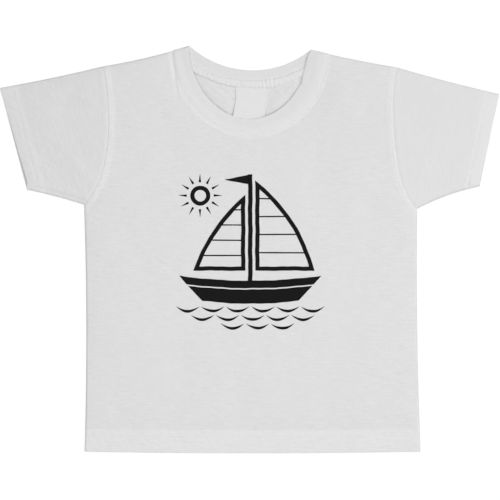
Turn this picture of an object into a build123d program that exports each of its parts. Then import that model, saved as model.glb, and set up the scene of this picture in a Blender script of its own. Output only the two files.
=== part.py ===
"""A child's short-sleeved T-shirt in white cotton jersey, laid flat on its back.

Lengths are in millimetres. X runs across the shirt, Y from the hem towards the neck, and Z up from
the surface that the shirt lies on, so the front and its print face up. The origin is at the centre
of the shirt's outline, on that surface.

The shirt is cut and sewn as the real one is. A front and a back of jersey meet at the side and
shoulder seams. Each sleeve is one piece, folded over along its top edge and sewn under the arm. Both
kinds of piece end in a hem that is turned in, so the cloth is double there. A neckband of rib, folded
double, runs round the neck as one ring, which turns over at the two neck points. A tape covers the
seam at the back of the neck and holds a plain label. The seam allowances are double cloth inside the
shirt. The front carries a printed picture as a film of ink.

The closed edges, which are sides, shoulders, sleeve folds and underarms, are rounded over to the
back layer. Hem, cuffs and neck are open, and the space between the layers runs through from each.
"""

import os
from collections import namedtuple

from build123d import *

# The cloth, and how high it lies.
JERSEY = 0.6  # thickness of the jersey
RIB = 0.8  # thickness of one layer of the neckband, which is double
LOFT = 7.2  # height of the front's outer face above the surface
EDGE_ROUND = 4.5  # radius of the closed edges, outside
BAND_PROUD = 0.3  # how far the neckband stands above the front
OVERRUN = 30.0  # how far a cutting shape runs past what it cuts

BODY_LENGTH = 403.5  # from the hem's corners to the line between the neck points
SIDE_LENGTH = 245.0  # from the hem's corners to the armpits

# How each side lies. A reach is from the centre line, a lift is above the length that both sides
# share, and a run, drop or fall is along X or Y from the point before it on the outline.
Side = namedtuple(
    "Side",
    "turn hem_reach chest_reach armpit_lift side_bow "
    "neck_reach neck_lift shoulder_run shoulder_drop "
    "armhole_reach armhole_fall armhole_turn_run armhole_turn_fall "
    "sleeve_run sleeve_drop cuff_run cuff_fall underarm_bow",
)
LEFT = Side(
    turn=-1,
    hem_reach=165.3,
    chest_reach=165.3,
    armpit_lift=1.5,
    side_bow=2.0,
    neck_reach=59.7,
    neck_lift=2.0,
    shoulder_run=86.5,
    shoulder_drop=20.5,
    armhole_reach=140.3,
    armhole_fall=58.5,
    armhole_turn_run=5.2,
    armhole_turn_fall=42.5,
    sleeve_run=102.5,
    sleeve_drop=21.5,
    cuff_run=27.0,
    cuff_fall=102.0,
    underarm_bow=0.8,
)
RIGHT = Side(
    turn=1,
    hem_reach=171.2,
    chest_reach=167.7,
    armpit_lift=-2.0,
    side_bow=1.6,
    neck_reach=61.7,
    neck_lift=-2.0,
    shoulder_run=86.0,
    shoulder_drop=17.5,
    armhole_reach=143.3,
    armhole_fall=37.5,
    armhole_turn_run=6.8,
    armhole_turn_fall=70.0,
    sleeve_run=101.0,
    sleeve_drop=26.5,
    cuff_run=19.5,
    cuff_fall=92.0,
    underarm_bow=3.2,
)
SIDES = {"left": LEFT, "right": RIGHT}

# Hems, seams and neck.
HEM_SAG = 2.2  # how far the hem's middle lies below its corners
HEM_DEPTH = 23.0
CUFF_HEM_DEPTH = 18.0
SEAM_ALLOWANCE = 6.0
NECK_ALLOWANCE = 4.5  # the front neck's, which is stitched down to the body
FRONT_NECK_DROP = 71.0  # from the neck points to the band's free edge
BACK_NECK_DROP = 22.5
BAND_WIDTH = 15.0
BAND_WIDTH_AT_SHOULDER = 15.5
TAPE_WIDTH = 7.5
TAPE_THICKNESS = 0.5
LABEL_WIDTH = 32.0
LABEL_LENGTH = 29.0  # below the tape
LABEL_THICKNESS = 0.6  # folded double
LABEL_TILT = -5.0  # degrees

# The printed picture: a sailing boat under a sun, on the sea.
INK = 0.15  # thickness of the film
PRINT_DROP = 227.5  # from the neck points down to the boat's deck
STROKE = 4.2
FINE_STROKE = 1.3
DECK_LENGTH = 142.0
DECK_SAG = 5.0
KEEL_LENGTH = 96.0
HULL_DEPTH = 25.0
KEEL_SAG = 3.0
PLANK_FALL = 7.5  # from the deck down to the bare line along the hull
MAST_WIDTH = 4.4
MAST_HEIGHT = 106.0
SAIL_CLEARANCE = 5.0  # between the sails and what they stand beside
MAINSAIL_HOIST = 90.0
MAINSAIL_FOOT = 59.0
MAINSAIL_BELLY = 9.0
JIB_HOIST = 76.0
JIB_FOOT = 52.0
JIB_BELLY = 6.0
PENNANT_LENGTH = 25.0
PENNANT_HEIGHT = 10.0
SAIL_SEAM_SHARES = (0.2, 0.4, 0.6, 0.8)  # of a sail's hoist
SUN_RADIUS = 10.0
SUN_REACH = 50.0  # from the mast to the sun's centre
SUN_RISE = 80.0  # from the deck to the sun's centre
RAY_GAP = 3.5
RAY_LENGTH = 8.0
RAY_WIDTH = 2.4
RAYS = 12
WAVE_WIDTH = 23.0
WAVE_SAG = 6.0
WAVE_STROKE = 2.8
WAVE_PITCH = 25.0
WAVE_ROW_FALL = 8.5
# One row of waves each: how many there are, and how far the row is shifted, as a share of the pitch.
WaveRow = namedtuple("WaveRow", "waves shift_share")
WAVE_ROWS = (WaveRow(6, 0.0), WaveRow(5, 0.1), WaveRow(3, 0.3))

BAND = 2 * RIB
SEAM = 2 * JERSEY
FRONT_INSIDE = LOFT - JERSEY  # height of the front's inner face
NECK_CENTRE_X = (RIGHT.neck_reach - LEFT.neck_reach) / 2
TOP = BODY_LENGTH + max(LEFT.neck_lift, RIGHT.neck_lift)
CUT_HEIGHT = LOFT + BAND_PROUD + OVERRUN


def sleeve_end(side):
    """X of the cuff's upper corner, which is the outline's outermost point."""
    return side.turn * (side.neck_reach + side.shoulder_run + side.sleeve_run)


TO_ORIGIN = Pos(-(sleeve_end(LEFT) + sleeve_end(RIGHT)) / 2, -(TOP - HEM_SAG) / 2, 0)


# Points of the outline, on one side.


def neck_point(side):
    return Vector(side.turn * side.neck_reach, BODY_LENGTH + side.neck_lift)


def shoulder_point(side):
    return neck_point(side) + Vector(side.turn * side.shoulder_run, -side.shoulder_drop)


def cuff_top(side):
    return shoulder_point(side) + Vector(side.turn * side.sleeve_run, -side.sleeve_drop)


def cuff_low(side):
    return cuff_top(side) + Vector(-side.turn * side.cuff_run, -side.cuff_fall)


def armpit(side):
    return Vector(side.turn * side.chest_reach, SIDE_LENGTH + side.armpit_lift)


def hem_corner(side):
    return Vector(side.turn * side.hem_reach, 0)


def armhole_dip(side):
    """Where the armhole seam comes nearest to the centre line."""
    return Vector(side.turn * side.armhole_reach, shoulder_point(side).Y - side.armhole_fall)


def on_shoulder(side, reach):
    """The point of the shoulder line, or of the line beyond it, at a distance from the centre line."""
    slope = side.shoulder_drop / side.shoulder_run
    return neck_point(side) + Vector(side.turn, -slope) * (reach - side.neck_reach)


def bowed(start, end, bow):
    """An arc from start to end, its middle bow to the right of the line between them."""
    along = (end - start).normalized()
    return ThreePointArc(start, (start + end) / 2 + Vector(along.Y, -along.X) * bow, end)


def armhole_curve(side):
    """Three arcs, each tangent to the next: armpit to turn, turn to dip, and dip to shoulder."""
    dip, up = armhole_dip(side), Vector(0, 1)
    turn = dip + Vector(side.turn * side.armhole_turn_run, -side.armhole_turn_fall)
    middle = TangentArc(dip, turn, tangent=-up)
    return [
        TangentArc(turn, armpit(side), tangent=middle % 1),
        middle,
        TangentArc(dip, shoulder_point(side), tangent=up),
    ]


# Plan shapes, as faces on the surface.


def face_of(*edges):
    return make_face(Wire(edges))


def polygon(*points):
    return make_face(Polyline(*points, close=True))


def side_edge(side):
    """The side seam's line, from the hem corner up to the armpit."""
    return bowed(hem_corner(side), armpit(side), side.turn * -side.side_bow)


def ridge():
    """Where the two shoulder lines would meet above the neck."""
    left, right = neck_point(LEFT), neck_point(RIGHT)
    left_slope = LEFT.shoulder_drop / LEFT.shoulder_run
    right_slope = RIGHT.shoulder_drop / RIGHT.shoulder_run
    run = (right.Y - left.Y + right_slope * (right.X - left.X)) / (left_slope + right_slope)
    return left + Vector(run, run * left_slope)


def shoulder_roof():
    """All that lies below the two shoulder lines."""
    low = Vector(0, -2 * OVERRUN)
    reach = 2 * max(LEFT.chest_reach, RIGHT.chest_reach)
    left, right = on_shoulder(LEFT, reach), on_shoulder(RIGHT, reach)
    return polygon(left, ridge(), right, Vector(right.X, low.Y), Vector(left.X, low.Y))


def body_plan():
    """The closed edges of the body, run on past hem, armholes and neck."""
    left, right = side_edge(LEFT), side_edge(RIGHT)
    left_foot, right_foot = (edge @ 0 - (edge % 0) * OVERRUN for edge in (left, right))
    left_head, right_head = (edge @ 1 + (edge % 1) * TOP for edge in (left, right))
    between_sides = face_of(
        Line(left_foot, left @ 0),
        left,
        Line(left @ 1, left_head),
        Line(left_head, right_head),
        Line(right_head, right @ 1),
        right,
        Line(right @ 0, right_foot),
        Line(right_foot, left_foot),
    )
    return between_sides & shoulder_roof()


def hem_cut():
    """All that lies below the hem."""
    low = -HEM_SAG - 2 * OVERRUN
    left, right = hem_corner(LEFT), hem_corner(RIGHT)
    out = Vector(OVERRUN, 0)
    sag = Vector((left.X + right.X) / 2, -HEM_SAG)
    return face_of(
        ThreePointArc(left, sag, right),
        Line(right, right + out),
        Line(right + out, Vector(right.X + OVERRUN, low)),
        Line(Vector(right.X + OVERRUN, low), Vector(left.X - OVERRUN, low)),
        Line(Vector(left.X - OVERRUN, low), left - out),
        Line(left - out, left),
    )


def armhole_cut(side):
    """All that lies outside the armhole seam."""
    top, low = shoulder_point(side), armpit(side)
    high = top + Vector(0, OVERRUN)
    far_x = cuff_top(side).X
    return face_of(
        *armhole_curve(side),
        Line(top, high),
        Line(high, Vector(far_x, high.Y)),
        Line(Vector(far_x, high.Y), Vector(far_x, low.Y)),
        Line(Vector(far_x, low.Y), low),
    )


def front_neck_cut(out_x, out_y):
    """All that lies inside an edge of the front neck: two quarter ellipses, with upright sides above."""
    left, right = (on_shoulder(s, s.neck_reach + out_x) for s in (LEFT, RIGHT))
    middle_x, reach = (left.X + right.X) / 2, (right.X - left.X) / 2
    low, high = BODY_LENGTH - FRONT_NECK_DROP - out_y, TOP + OVERRUN
    return face_of(
        EllipticalCenterArc((middle_x, left.Y), reach, left.Y - low, 180, arc_size=90),
        EllipticalCenterArc((middle_x, right.Y), reach, right.Y - low, 270, arc_size=90),
        Line(right, Vector(right.X, high)),
        Line(Vector(right.X, high), Vector(left.X, high)),
        Line(Vector(left.X, high), left),
    )


def back_neck_cut(out_x, out_y):
    """All that lies inside an edge of the back neck: a flat arc with straight sides above."""
    left, right = (on_shoulder(s, s.neck_reach + out_x) for s in (LEFT, RIGHT))
    low = Vector(NECK_CENTRE_X, BODY_LENGTH - BACK_NECK_DROP - out_y)
    high_y = TOP + OVERRUN
    return face_of(
        ThreePointArc(left, low, right),
        Line(right, Vector(right.X, high_y)),
        Line(Vector(right.X, high_y), Vector(left.X, high_y)),
        Line(Vector(left.X, high_y), left),
    )


def sleeve_plan(side):
    """The closed edges of a sleeve, run on past the cuff and the armhole."""
    top_way = (cuff_top(side) - shoulder_point(side)).normalized() * OVERRUN
    underarm = bowed(cuff_low(side), armpit(side), side.turn * side.underarm_bow)
    top_in, top_out = shoulder_point(side) - top_way, cuff_top(side) + top_way
    low_in, low_out = underarm @ 1 + (underarm % 1) * OVERRUN, underarm @ 0 - (underarm % 0) * OVERRUN
    return face_of(
        Line(top_in, top_out),
        Line(top_out, low_out),
        Line(low_out, cuff_low(side)),
        underarm,
        Line(armpit(side), low_in),
        Line(low_in, top_in),
    )


def sleeve_outline(side):
    """What is left of a sleeve between its cuff and the armhole seam."""
    return face_of(
        Line(shoulder_point(side), cuff_top(side)),
        Line(cuff_top(side), cuff_low(side)),
        bowed(cuff_low(side), armpit(side), side.turn * side.underarm_bow),
        *armhole_curve(side),
    )


def cuff_hem_zone(side):
    """The strip along the cuff where the cloth is double."""
    down = (cuff_low(side) - cuff_top(side)).normalized()
    out = Vector(down.Y, -down.X) * -side.turn
    high, low = cuff_top(side) - down * OVERRUN, cuff_low(side) + down * OVERRUN
    inward = out * -CUFF_HEM_DEPTH
    outward = out * OVERRUN
    return polygon(high + outward, low + outward, low + inward, high + inward)


def hem_zone():
    """The strip along the hem where the cloth is double."""
    width = LEFT.hem_reach + RIGHT.hem_reach + 2 * OVERRUN
    low = -HEM_SAG - OVERRUN
    middle_x = (RIGHT.hem_reach - LEFT.hem_reach) / 2
    return Pos(middle_x, (low + HEM_DEPTH) / 2) * Rectangle(width, HEM_DEPTH - low)


# Solids.


def slab(plan, low, high):
    """A plan shape as a solid between two heights."""
    return extrude(Pos(0, 0, low) * plan, amount=high - low)


def pillow(plan, wall, top):
    """A plan shape pulled in by wall on every side and below, with its upper edges rounded over."""
    block = slab(offset(plan, -wall) if wall else plan, wall, top - wall)
    return fillet(block.edges().group_by(Axis.Z)[-1], EDGE_ROUND - wall)


def through(plan):
    """A plan shape as a cutter that runs through every layer."""
    return slab(plan, -OVERRUN, CUT_HEIGHT)


BODY = body_plan()
BODY_CAVITY = pillow(BODY, JERSEY, LOFT)
OUTSIDE_BODY = [through(hem_cut()), *(through(armhole_cut(s)) for s in SIDES.values())]


def front_panel():
    """The front of the body, from the side seams over the rounded edges, with its hem turned in."""
    cloth = pillow(BODY, 0, LOFT) - BODY_CAVITY
    cloth &= slab(BODY, JERSEY, CUT_HEIGHT)
    turned_in = BODY_CAVITY & slab(hem_zone(), FRONT_INSIDE - JERSEY, FRONT_INSIDE)
    cloth += turned_in
    for cutter in OUTSIDE_BODY:
        cloth -= cutter
    return cloth - through(front_neck_cut(BAND_WIDTH_AT_SHOULDER, BAND_WIDTH))


def back_panel():
    """The back of the body, flat on the surface, with its hem turned in."""
    cloth = slab(BODY, 0, JERSEY) + (BODY_CAVITY & slab(hem_zone(), JERSEY, SEAM))
    for cutter in OUTSIDE_BODY:
        cloth -= cutter
    return cloth - through(back_neck_cut(BAND_WIDTH_AT_SHOULDER, BAND_WIDTH))


def sleeve(side):
    """A sleeve: one layer below, one above, and its cuff's hem turned in all round."""
    plan = sleeve_plan(side)
    cavity = pillow(plan, JERSEY, LOFT)
    cloth = pillow(plan, 0, LOFT) - cavity
    cloth += (cavity - pillow(plan, SEAM, LOFT)) & through(cuff_hem_zone(side))
    return cloth & through(sleeve_outline(side))


def neckband():
    """The ring of folded rib: its front half on top, its back half below, joined at the neck points."""
    top = LOFT + BAND_PROUD
    roof = shoulder_roof()
    ring = pillow(roof, 0, top) - pillow(roof, BAND, top)
    front = front_neck_cut(BAND_WIDTH_AT_SHOULDER, BAND_WIDTH) - front_neck_cut(0, 0)
    back = back_neck_cut(BAND_WIDTH_AT_SHOULDER, BAND_WIDTH) - back_neck_cut(0, 0)
    upper = ring & slab(front, LOFT / 2, CUT_HEIGHT)
    lower = ring & slab(back, -OVERRUN, LOFT / 2)
    return upper + lower


def neck_tape():
    """The tape over the back neck's seam: on the band on one side, on the seam allowance on the other."""
    seam = back_neck_cut(BAND_WIDTH_AT_SHOULDER, BAND_WIDTH)
    wide = offset(seam, TAPE_WIDTH / 2) - offset(seam, -TAPE_WIDTH / 2)
    tape = slab(wide, BAND, BAND + TAPE_THICKNESS)
    allowance = slab(offset(seam, TAPE_WIDTH / 2) - seam, JERSEY, BAND)
    return (tape + allowance) & slab(offset(BODY, -BAND), 0, LOFT)


def neck_label():
    """The bare label, caught under the tape at the middle of the back neck and tilted as it lies."""
    tape = offset(back_neck_cut(BAND_WIDTH_AT_SHOULDER, BAND_WIDTH), TAPE_WIDTH / 2)
    hang = BODY_LENGTH - BACK_NECK_DROP - BAND_WIDTH
    turn = Pos(NECK_CENTRE_X, hang) * Rot(0, 0, LABEL_TILT)
    reach = LABEL_LENGTH + TAPE_WIDTH / 2
    plan = turn * Pos(0, -reach / 2) * Rectangle(LABEL_WIDTH, reach)
    return slab(plan - tape, JERSEY, JERSEY + LABEL_THICKNESS)


def front_neck_seam():
    """The front neck's seam allowance, pressed away from the band and lying under the front."""
    width, drop = BAND_WIDTH_AT_SHOULDER, BAND_WIDTH
    plan = front_neck_cut(width + NECK_ALLOWANCE, drop + NECK_ALLOWANCE) - front_neck_cut(width, drop)
    return BODY_CAVITY & slab(plan, FRONT_INSIDE - SEAM, CUT_HEIGHT)


def armhole_allowance(side):
    """Plan of an armhole's seam allowance, which is pressed towards the body."""
    return offset(armhole_cut(side), SEAM_ALLOWANCE) - armhole_cut(side)


def armhole_seam(side):
    """An armhole's seam allowance: one strip under the front and one on the back."""
    plan = armhole_allowance(side)
    upper = slab(plan, FRONT_INSIDE - SEAM, CUT_HEIGHT)
    lower = slab(plan, JERSEY, JERSEY + SEAM)
    return BODY_CAVITY & (upper + lower)


def along_edge(plan):
    """Plan of a seam allowance that lies inside the closed edges of a plan shape."""
    return offset(plan, -JERSEY) - offset(plan, -JERSEY - SEAM_ALLOWANCE)


def side_half(side, low, high):
    """All of one side of the shirt between two heights along Y, in plan."""
    width = side.chest_reach + 2 * OVERRUN
    return Pos(side.turn * width / 2, (low + high) / 2) * Rectangle(width, high - low)


def side_seam(side):
    """A side seam's allowance, on the back, from the hem up to the armhole."""
    plan = along_edge(BODY) & side_half(side, HEM_DEPTH, armhole_dip(side).Y)
    plan -= offset(armhole_cut(side), SEAM_ALLOWANCE)
    return slab(plan, JERSEY, JERSEY + SEAM)


def shoulder_seam(side):
    """A shoulder seam's allowance, on the back, from the armhole to the neck tape."""
    plan = along_edge(BODY) & side_half(side, armhole_dip(side).Y, TOP)
    plan -= offset(armhole_cut(side), SEAM_ALLOWANCE)
    plan -= offset(back_neck_cut(BAND_WIDTH_AT_SHOULDER, BAND_WIDTH), TAPE_WIDTH / 2)
    return slab(plan, JERSEY, JERSEY + SEAM)


def underarm_seam(side):
    """The seam allowance under the arm, on the sleeve's lower layer."""
    lower_half = polygon(
        armpit(side),
        cuff_low(side),
        (cuff_low(side) + cuff_top(side)) / 2,
        armhole_dip(side),
    )
    plan = along_edge(sleeve_plan(side)) & sleeve_outline(side) & lower_half
    return slab(plan - cuff_hem_zone(side), JERSEY, JERSEY + SEAM)


# The printed picture, drawn about the point where the mast meets the deck.


def outlined(plan):
    return plan - offset(plan, -STROKE)


def sail(turn, hoist, foot, belly):
    """A sail beside the mast, its free edge bellied out, with fine seams across it."""
    tack = Vector(turn * SAIL_CLEARANCE, SAIL_CLEARANCE)
    head, clew = tack + Vector(0, hoist), tack + Vector(turn * foot, 0)
    out = Vector(turn * hoist, foot).normalized() * belly
    plan = face_of(
        Line(tack, head), ThreePointArc(head, (head + clew) / 2 + out, clew), Line(clew, tack)
    )
    drawn = outlined(plan)
    for share in SAIL_SEAM_SHARES:
        height = tack.Y + share * hoist
        drawn += plan & (Pos(0, height) * Rectangle(2 * (foot + OVERRUN), FINE_STROKE))
    return drawn


def hull():
    """The hull, filled in, with a bare line along its planks."""
    bow, stern = Vector(-DECK_LENGTH / 2, 0), Vector(DECK_LENGTH / 2, 0)
    keel = Vector(KEEL_LENGTH / 2, 0)
    depth = Vector(0, -HULL_DEPTH)

    def sheer(fall):
        drop = Vector(0, -fall)
        return ThreePointArc(bow + drop, Vector(0, -DECK_SAG - fall), stern + drop)

    plan = face_of(
        sheer(0),
        Line(stern, depth + keel),
        ThreePointArc(depth + keel, depth - Vector(0, KEEL_SAG), depth - keel),
        Line(depth - keel, bow),
    )
    line = face_of(
        sheer(PLANK_FALL),
        sheer(PLANK_FALL + FINE_STROKE),
        *(Line(end - Vector(0, PLANK_FALL), end - Vector(0, PLANK_FALL + FINE_STROKE)) for end in (bow, stern)),
    )
    return plan - line


def sun():
    """A ring with pointed rays round it."""
    drawn = Circle(SUN_RADIUS) - Circle(SUN_RADIUS - STROKE)
    foot = SUN_RADIUS + RAY_GAP
    ray = polygon((foot, -RAY_WIDTH / 2), (foot + RAY_LENGTH, 0), (foot, RAY_WIDTH / 2))
    for turn in range(RAYS):
        drawn += Rot(0, 0, turn * 360 / RAYS) * ray
    return Pos(-SUN_REACH, SUN_RISE) * drawn


def waves():
    """Rows of strokes that are thick in the middle and pointed at the ends."""
    left, right = Vector(-WAVE_WIDTH / 2, 0), Vector(WAVE_WIDTH / 2, 0)
    stroke = face_of(
        ThreePointArc(left, Vector(0, -WAVE_SAG), right),
        ThreePointArc(left, Vector(0, WAVE_STROKE - WAVE_SAG), right),
    )
    top = -HULL_DEPTH - KEEL_SAG - WAVE_STROKE
    return [
        Pos((place - (row.waves - 1) / 2 + row.shift_share) * WAVE_PITCH, top - level * WAVE_ROW_FALL)
        * stroke
        for level, row in enumerate(WAVE_ROWS)
        for place in range(row.waves)
    ]


def chest_print():
    """The picture as a film of ink on the front."""
    mast = Pos(0, MAST_HEIGHT / 2) * Rectangle(MAST_WIDTH, MAST_HEIGHT)
    pennant = polygon(
        (0, MAST_HEIGHT), (-PENNANT_LENGTH, MAST_HEIGHT - PENNANT_HEIGHT / 2), (0, MAST_HEIGHT - PENNANT_HEIGHT)
    )
    boat = hull() + (Pos(0, -DECK_SAG) * mast) + (Pos(0, -DECK_SAG) * pennant)
    boat += sail(1, MAINSAIL_HOIST, MAINSAIL_FOOT, MAINSAIL_BELLY)
    boat += sail(-1, JIB_HOIST, JIB_FOOT, JIB_BELLY)
    place = Pos(NECK_CENTRE_X, BODY_LENGTH - PRINT_DROP, LOFT)
    faces = [f for shape in (boat, sun(), *waves()) for f in shape.faces()]
    return Compound([extrude(place * f, amount=INK) for f in faces])


def pieces():
    """Every piece of the shirt by its name."""
    made = {
        "front_panel": front_panel(),
        "back_panel": back_panel(),
        "neckband": neckband(),
        "neck_tape": neck_tape(),
        "neck_label": neck_label(),
        "front_neck_seam": front_neck_seam(),
        "chest_print": chest_print(),
    }
    for name, side in SIDES.items():
        made[f"{name}_sleeve"] = sleeve(side)
        made[f"{name}_armhole_seam"] = armhole_seam(side)
        made[f"{name}_side_seam"] = side_seam(side)
        made[f"{name}_shoulder_seam"] = shoulder_seam(side)
        made[f"{name}_underarm_seam"] = underarm_seam(side)
    return made


os.makedirs("parts", exist_ok=True)
for node, shape in pieces().items():
    solids = (TO_ORIGIN * shape).solids()
    whole = solids[0] if len(solids) == 1 else Compound(solids)
    export_step(whole, f"parts/{node}.step")
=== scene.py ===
"""A child's short-sleeved T-shirt of white cotton jersey, laid flat and seen from above.

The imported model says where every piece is. This script dresses it: each piece of cloth is a grid of
points worked out with numpy, given its thickness, its turned hems, seams and folds, and a finish.

Plan positions and heights are in millimetres in the model's frame, and meshes are made in metres.
A height is that of the middle of one layer of cloth above the surface that the shirt lies on.
"""

import logging
from dataclasses import dataclass, field
from enum import Enum
from typing import Any, Callable, Iterable, Mapping

import bpy
import numpy as np
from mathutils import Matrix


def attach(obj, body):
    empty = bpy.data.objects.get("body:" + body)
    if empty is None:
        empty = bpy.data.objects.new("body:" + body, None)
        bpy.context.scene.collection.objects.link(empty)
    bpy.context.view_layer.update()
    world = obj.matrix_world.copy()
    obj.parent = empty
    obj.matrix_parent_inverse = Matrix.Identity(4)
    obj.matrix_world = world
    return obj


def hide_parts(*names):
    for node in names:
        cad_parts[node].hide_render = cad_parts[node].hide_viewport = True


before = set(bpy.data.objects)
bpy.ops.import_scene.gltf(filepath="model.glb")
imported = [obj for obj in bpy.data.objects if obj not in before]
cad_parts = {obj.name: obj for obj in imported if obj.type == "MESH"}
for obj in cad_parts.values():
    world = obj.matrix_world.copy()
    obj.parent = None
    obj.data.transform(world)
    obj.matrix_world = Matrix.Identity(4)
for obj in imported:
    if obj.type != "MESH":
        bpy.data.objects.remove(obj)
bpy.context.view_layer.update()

Array = np.ndarray
Pair = tuple[float, float]
Triple = tuple[float, float, float]
Material = bpy.types.Material
Socket = bpy.types.NodeSocket
MM = 0.001
log = logging.getLogger("t_shirt")


# Curves and grids in plan.


def straight(start: Array, end: Array, count: int = 2) -> Array:
    """Points evenly along the line from start to end."""
    return start + np.linspace(0, 1, count)[:, None] * (end - start)


def bowed(start: Array, end: Array, bow: float, count: int = 17) -> Array:
    """A shallow curve: the line, moved to its right by bow times 4 s (1 - s), s being the share along it.

    Args:
        start: first point.
        end: last point.
        bow: how far the middle moves to the right of the line.
        count: number of points.

    Returns:
        The points, one row each.
    """
    share = np.linspace(0, 1, count)[:, None]
    along = (end - start) / np.linalg.norm(end - start)
    right = np.array([along[1], -along[0]])
    return start + share * (end - start) + 4 * bow * share * (1 - share) * right


def tangent_arc(start: Array, end: Array, tangent: Array, count: int = 15) -> tuple[Array, Array]:
    """An arc that leaves start along tangent and reaches end.

    It turns by twice the angle between the tangent and the chord. Its radius is half the chord over
    the sine of that angle.

    Args:
        start: first point.
        end: last point.
        tangent: direction at the start.
        count: number of points.

    Returns:
        The points, and the direction at the end.
    """
    way = tangent / np.linalg.norm(tangent)
    left = np.array([-way[1], way[0]])
    chord = end - start
    angle = np.arctan2(chord @ left, chord @ way)
    radius = np.linalg.norm(chord) / (2 * np.sin(angle))
    turned = np.linspace(0, 2 * angle, count)[:, None]
    points = start + radius * (np.sin(turned) * way + (1 - np.cos(turned)) * left)
    return points, np.cos(2 * angle) * way + np.sin(2 * angle) * left


def arc_through(start: Array, middle: Array, end: Array, count: int = 80) -> Array:
    """The circular arc through three points: equal angles from start to end about their circle's centre.

    Args:
        start: first point.
        middle: a point on the way.
        end: last point.
        count: number of points.

    Returns:
        The points.
    """
    a, b = middle - start, end - start
    cross = 2 * (a[0] * b[1] - a[1] * b[0])
    centre = start + np.array([b[1] * (a @ a) - a[1] * (b @ b), a[0] * (b @ b) - b[0] * (a @ a)]) / cross
    first, last = (np.arctan2(*(p - centre)[::-1]) for p in (start, end))
    between = np.arctan2(*(middle - centre)[::-1])
    span = (last - first) % (2 * np.pi)
    if (between - first) % (2 * np.pi) > span:
        span -= 2 * np.pi
    angle = first + np.linspace(0, 1, count) * span
    return centre + np.linalg.norm(start - centre) * np.stack([np.cos(angle), np.sin(angle)], 1)


def joined(*lines: Array) -> Array:
    """Curves end to end as one, with each shared point kept once."""
    return np.concatenate([lines[0], *(line[1:] for line in lines[1:])])


def lengths(line: Array) -> Array:
    """Length along a curve up to each of its points."""
    return np.concatenate([[0.0], np.cumsum(np.linalg.norm(np.diff(line, axis=0), axis=1))])


def at_shares(line: Array, shares: Array) -> Array:
    """The points of a curve at shares of its length."""
    along = lengths(line)
    return np.stack([np.interp(shares * along[-1], along, line[:, k]) for k in range(line.shape[1])], 1)


def distance(points: Array, line: Array) -> Array:
    """Distance from each point to the nearest place on a curve: the least over its straight bits.

    Args:
        points: points, in any grid.
        line: the curve.

    Returns:
        The distances, in the same grid.
    """
    least = np.full(points.shape[:-1], np.inf)
    for a, b in zip(line[:-1], line[1:]):
        way = b - a
        share = np.clip(((points - a) @ way) / (way @ way), 0, 1)
        least = np.minimum(least, np.linalg.norm(points - a - share[..., None] * way, axis=-1))
    return least


def step(value: Array, low: float, high: float) -> Array:
    """A smooth step from 0 at low to 1 at high: 3 s squared - 2 s cubed."""
    share = np.clip((value - low) / (high - low), 0, 1)
    return share * share * (3 - 2 * share)


def bump(value: Array, middle: float, width: float) -> Array:
    """A bell of height 1 about middle: e to the minus of the squared distance over width."""
    return np.exp(-(((value - middle) / width) ** 2))


def between(u: Array, v: Array, bottom: Array, top: Array, left: Array, right: Array) -> Array:
    """A grid that fills the space inside four curves, as a Coons patch.

    Each point is the mix of bottom and top by v, plus the mix of left and right by u, minus the mix
    of the four corners by both.

    Args:
        u: shares across, at which bottom and top are given.
        v: shares up, at which left and right are given.
        bottom: curve at v = 0.
        top: curve at v = 1.
        left: curve at u = 0.
        right: curve at u = 1.

    Returns:
        Points, indexed by u and then v.
    """
    uu, vv = u[:, None, None], v[None, :, None]
    across = (1 - vv) * bottom[:, None] + vv * top[:, None]
    up = (1 - uu) * left[None] + uu * right[None]
    low = (1 - uu) * bottom[0] + uu * bottom[-1]
    high = (1 - uu) * top[0] + uu * top[-1]
    return across + up - (1 - vv) * low - vv * high


# Cloth as closed meshes.


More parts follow.
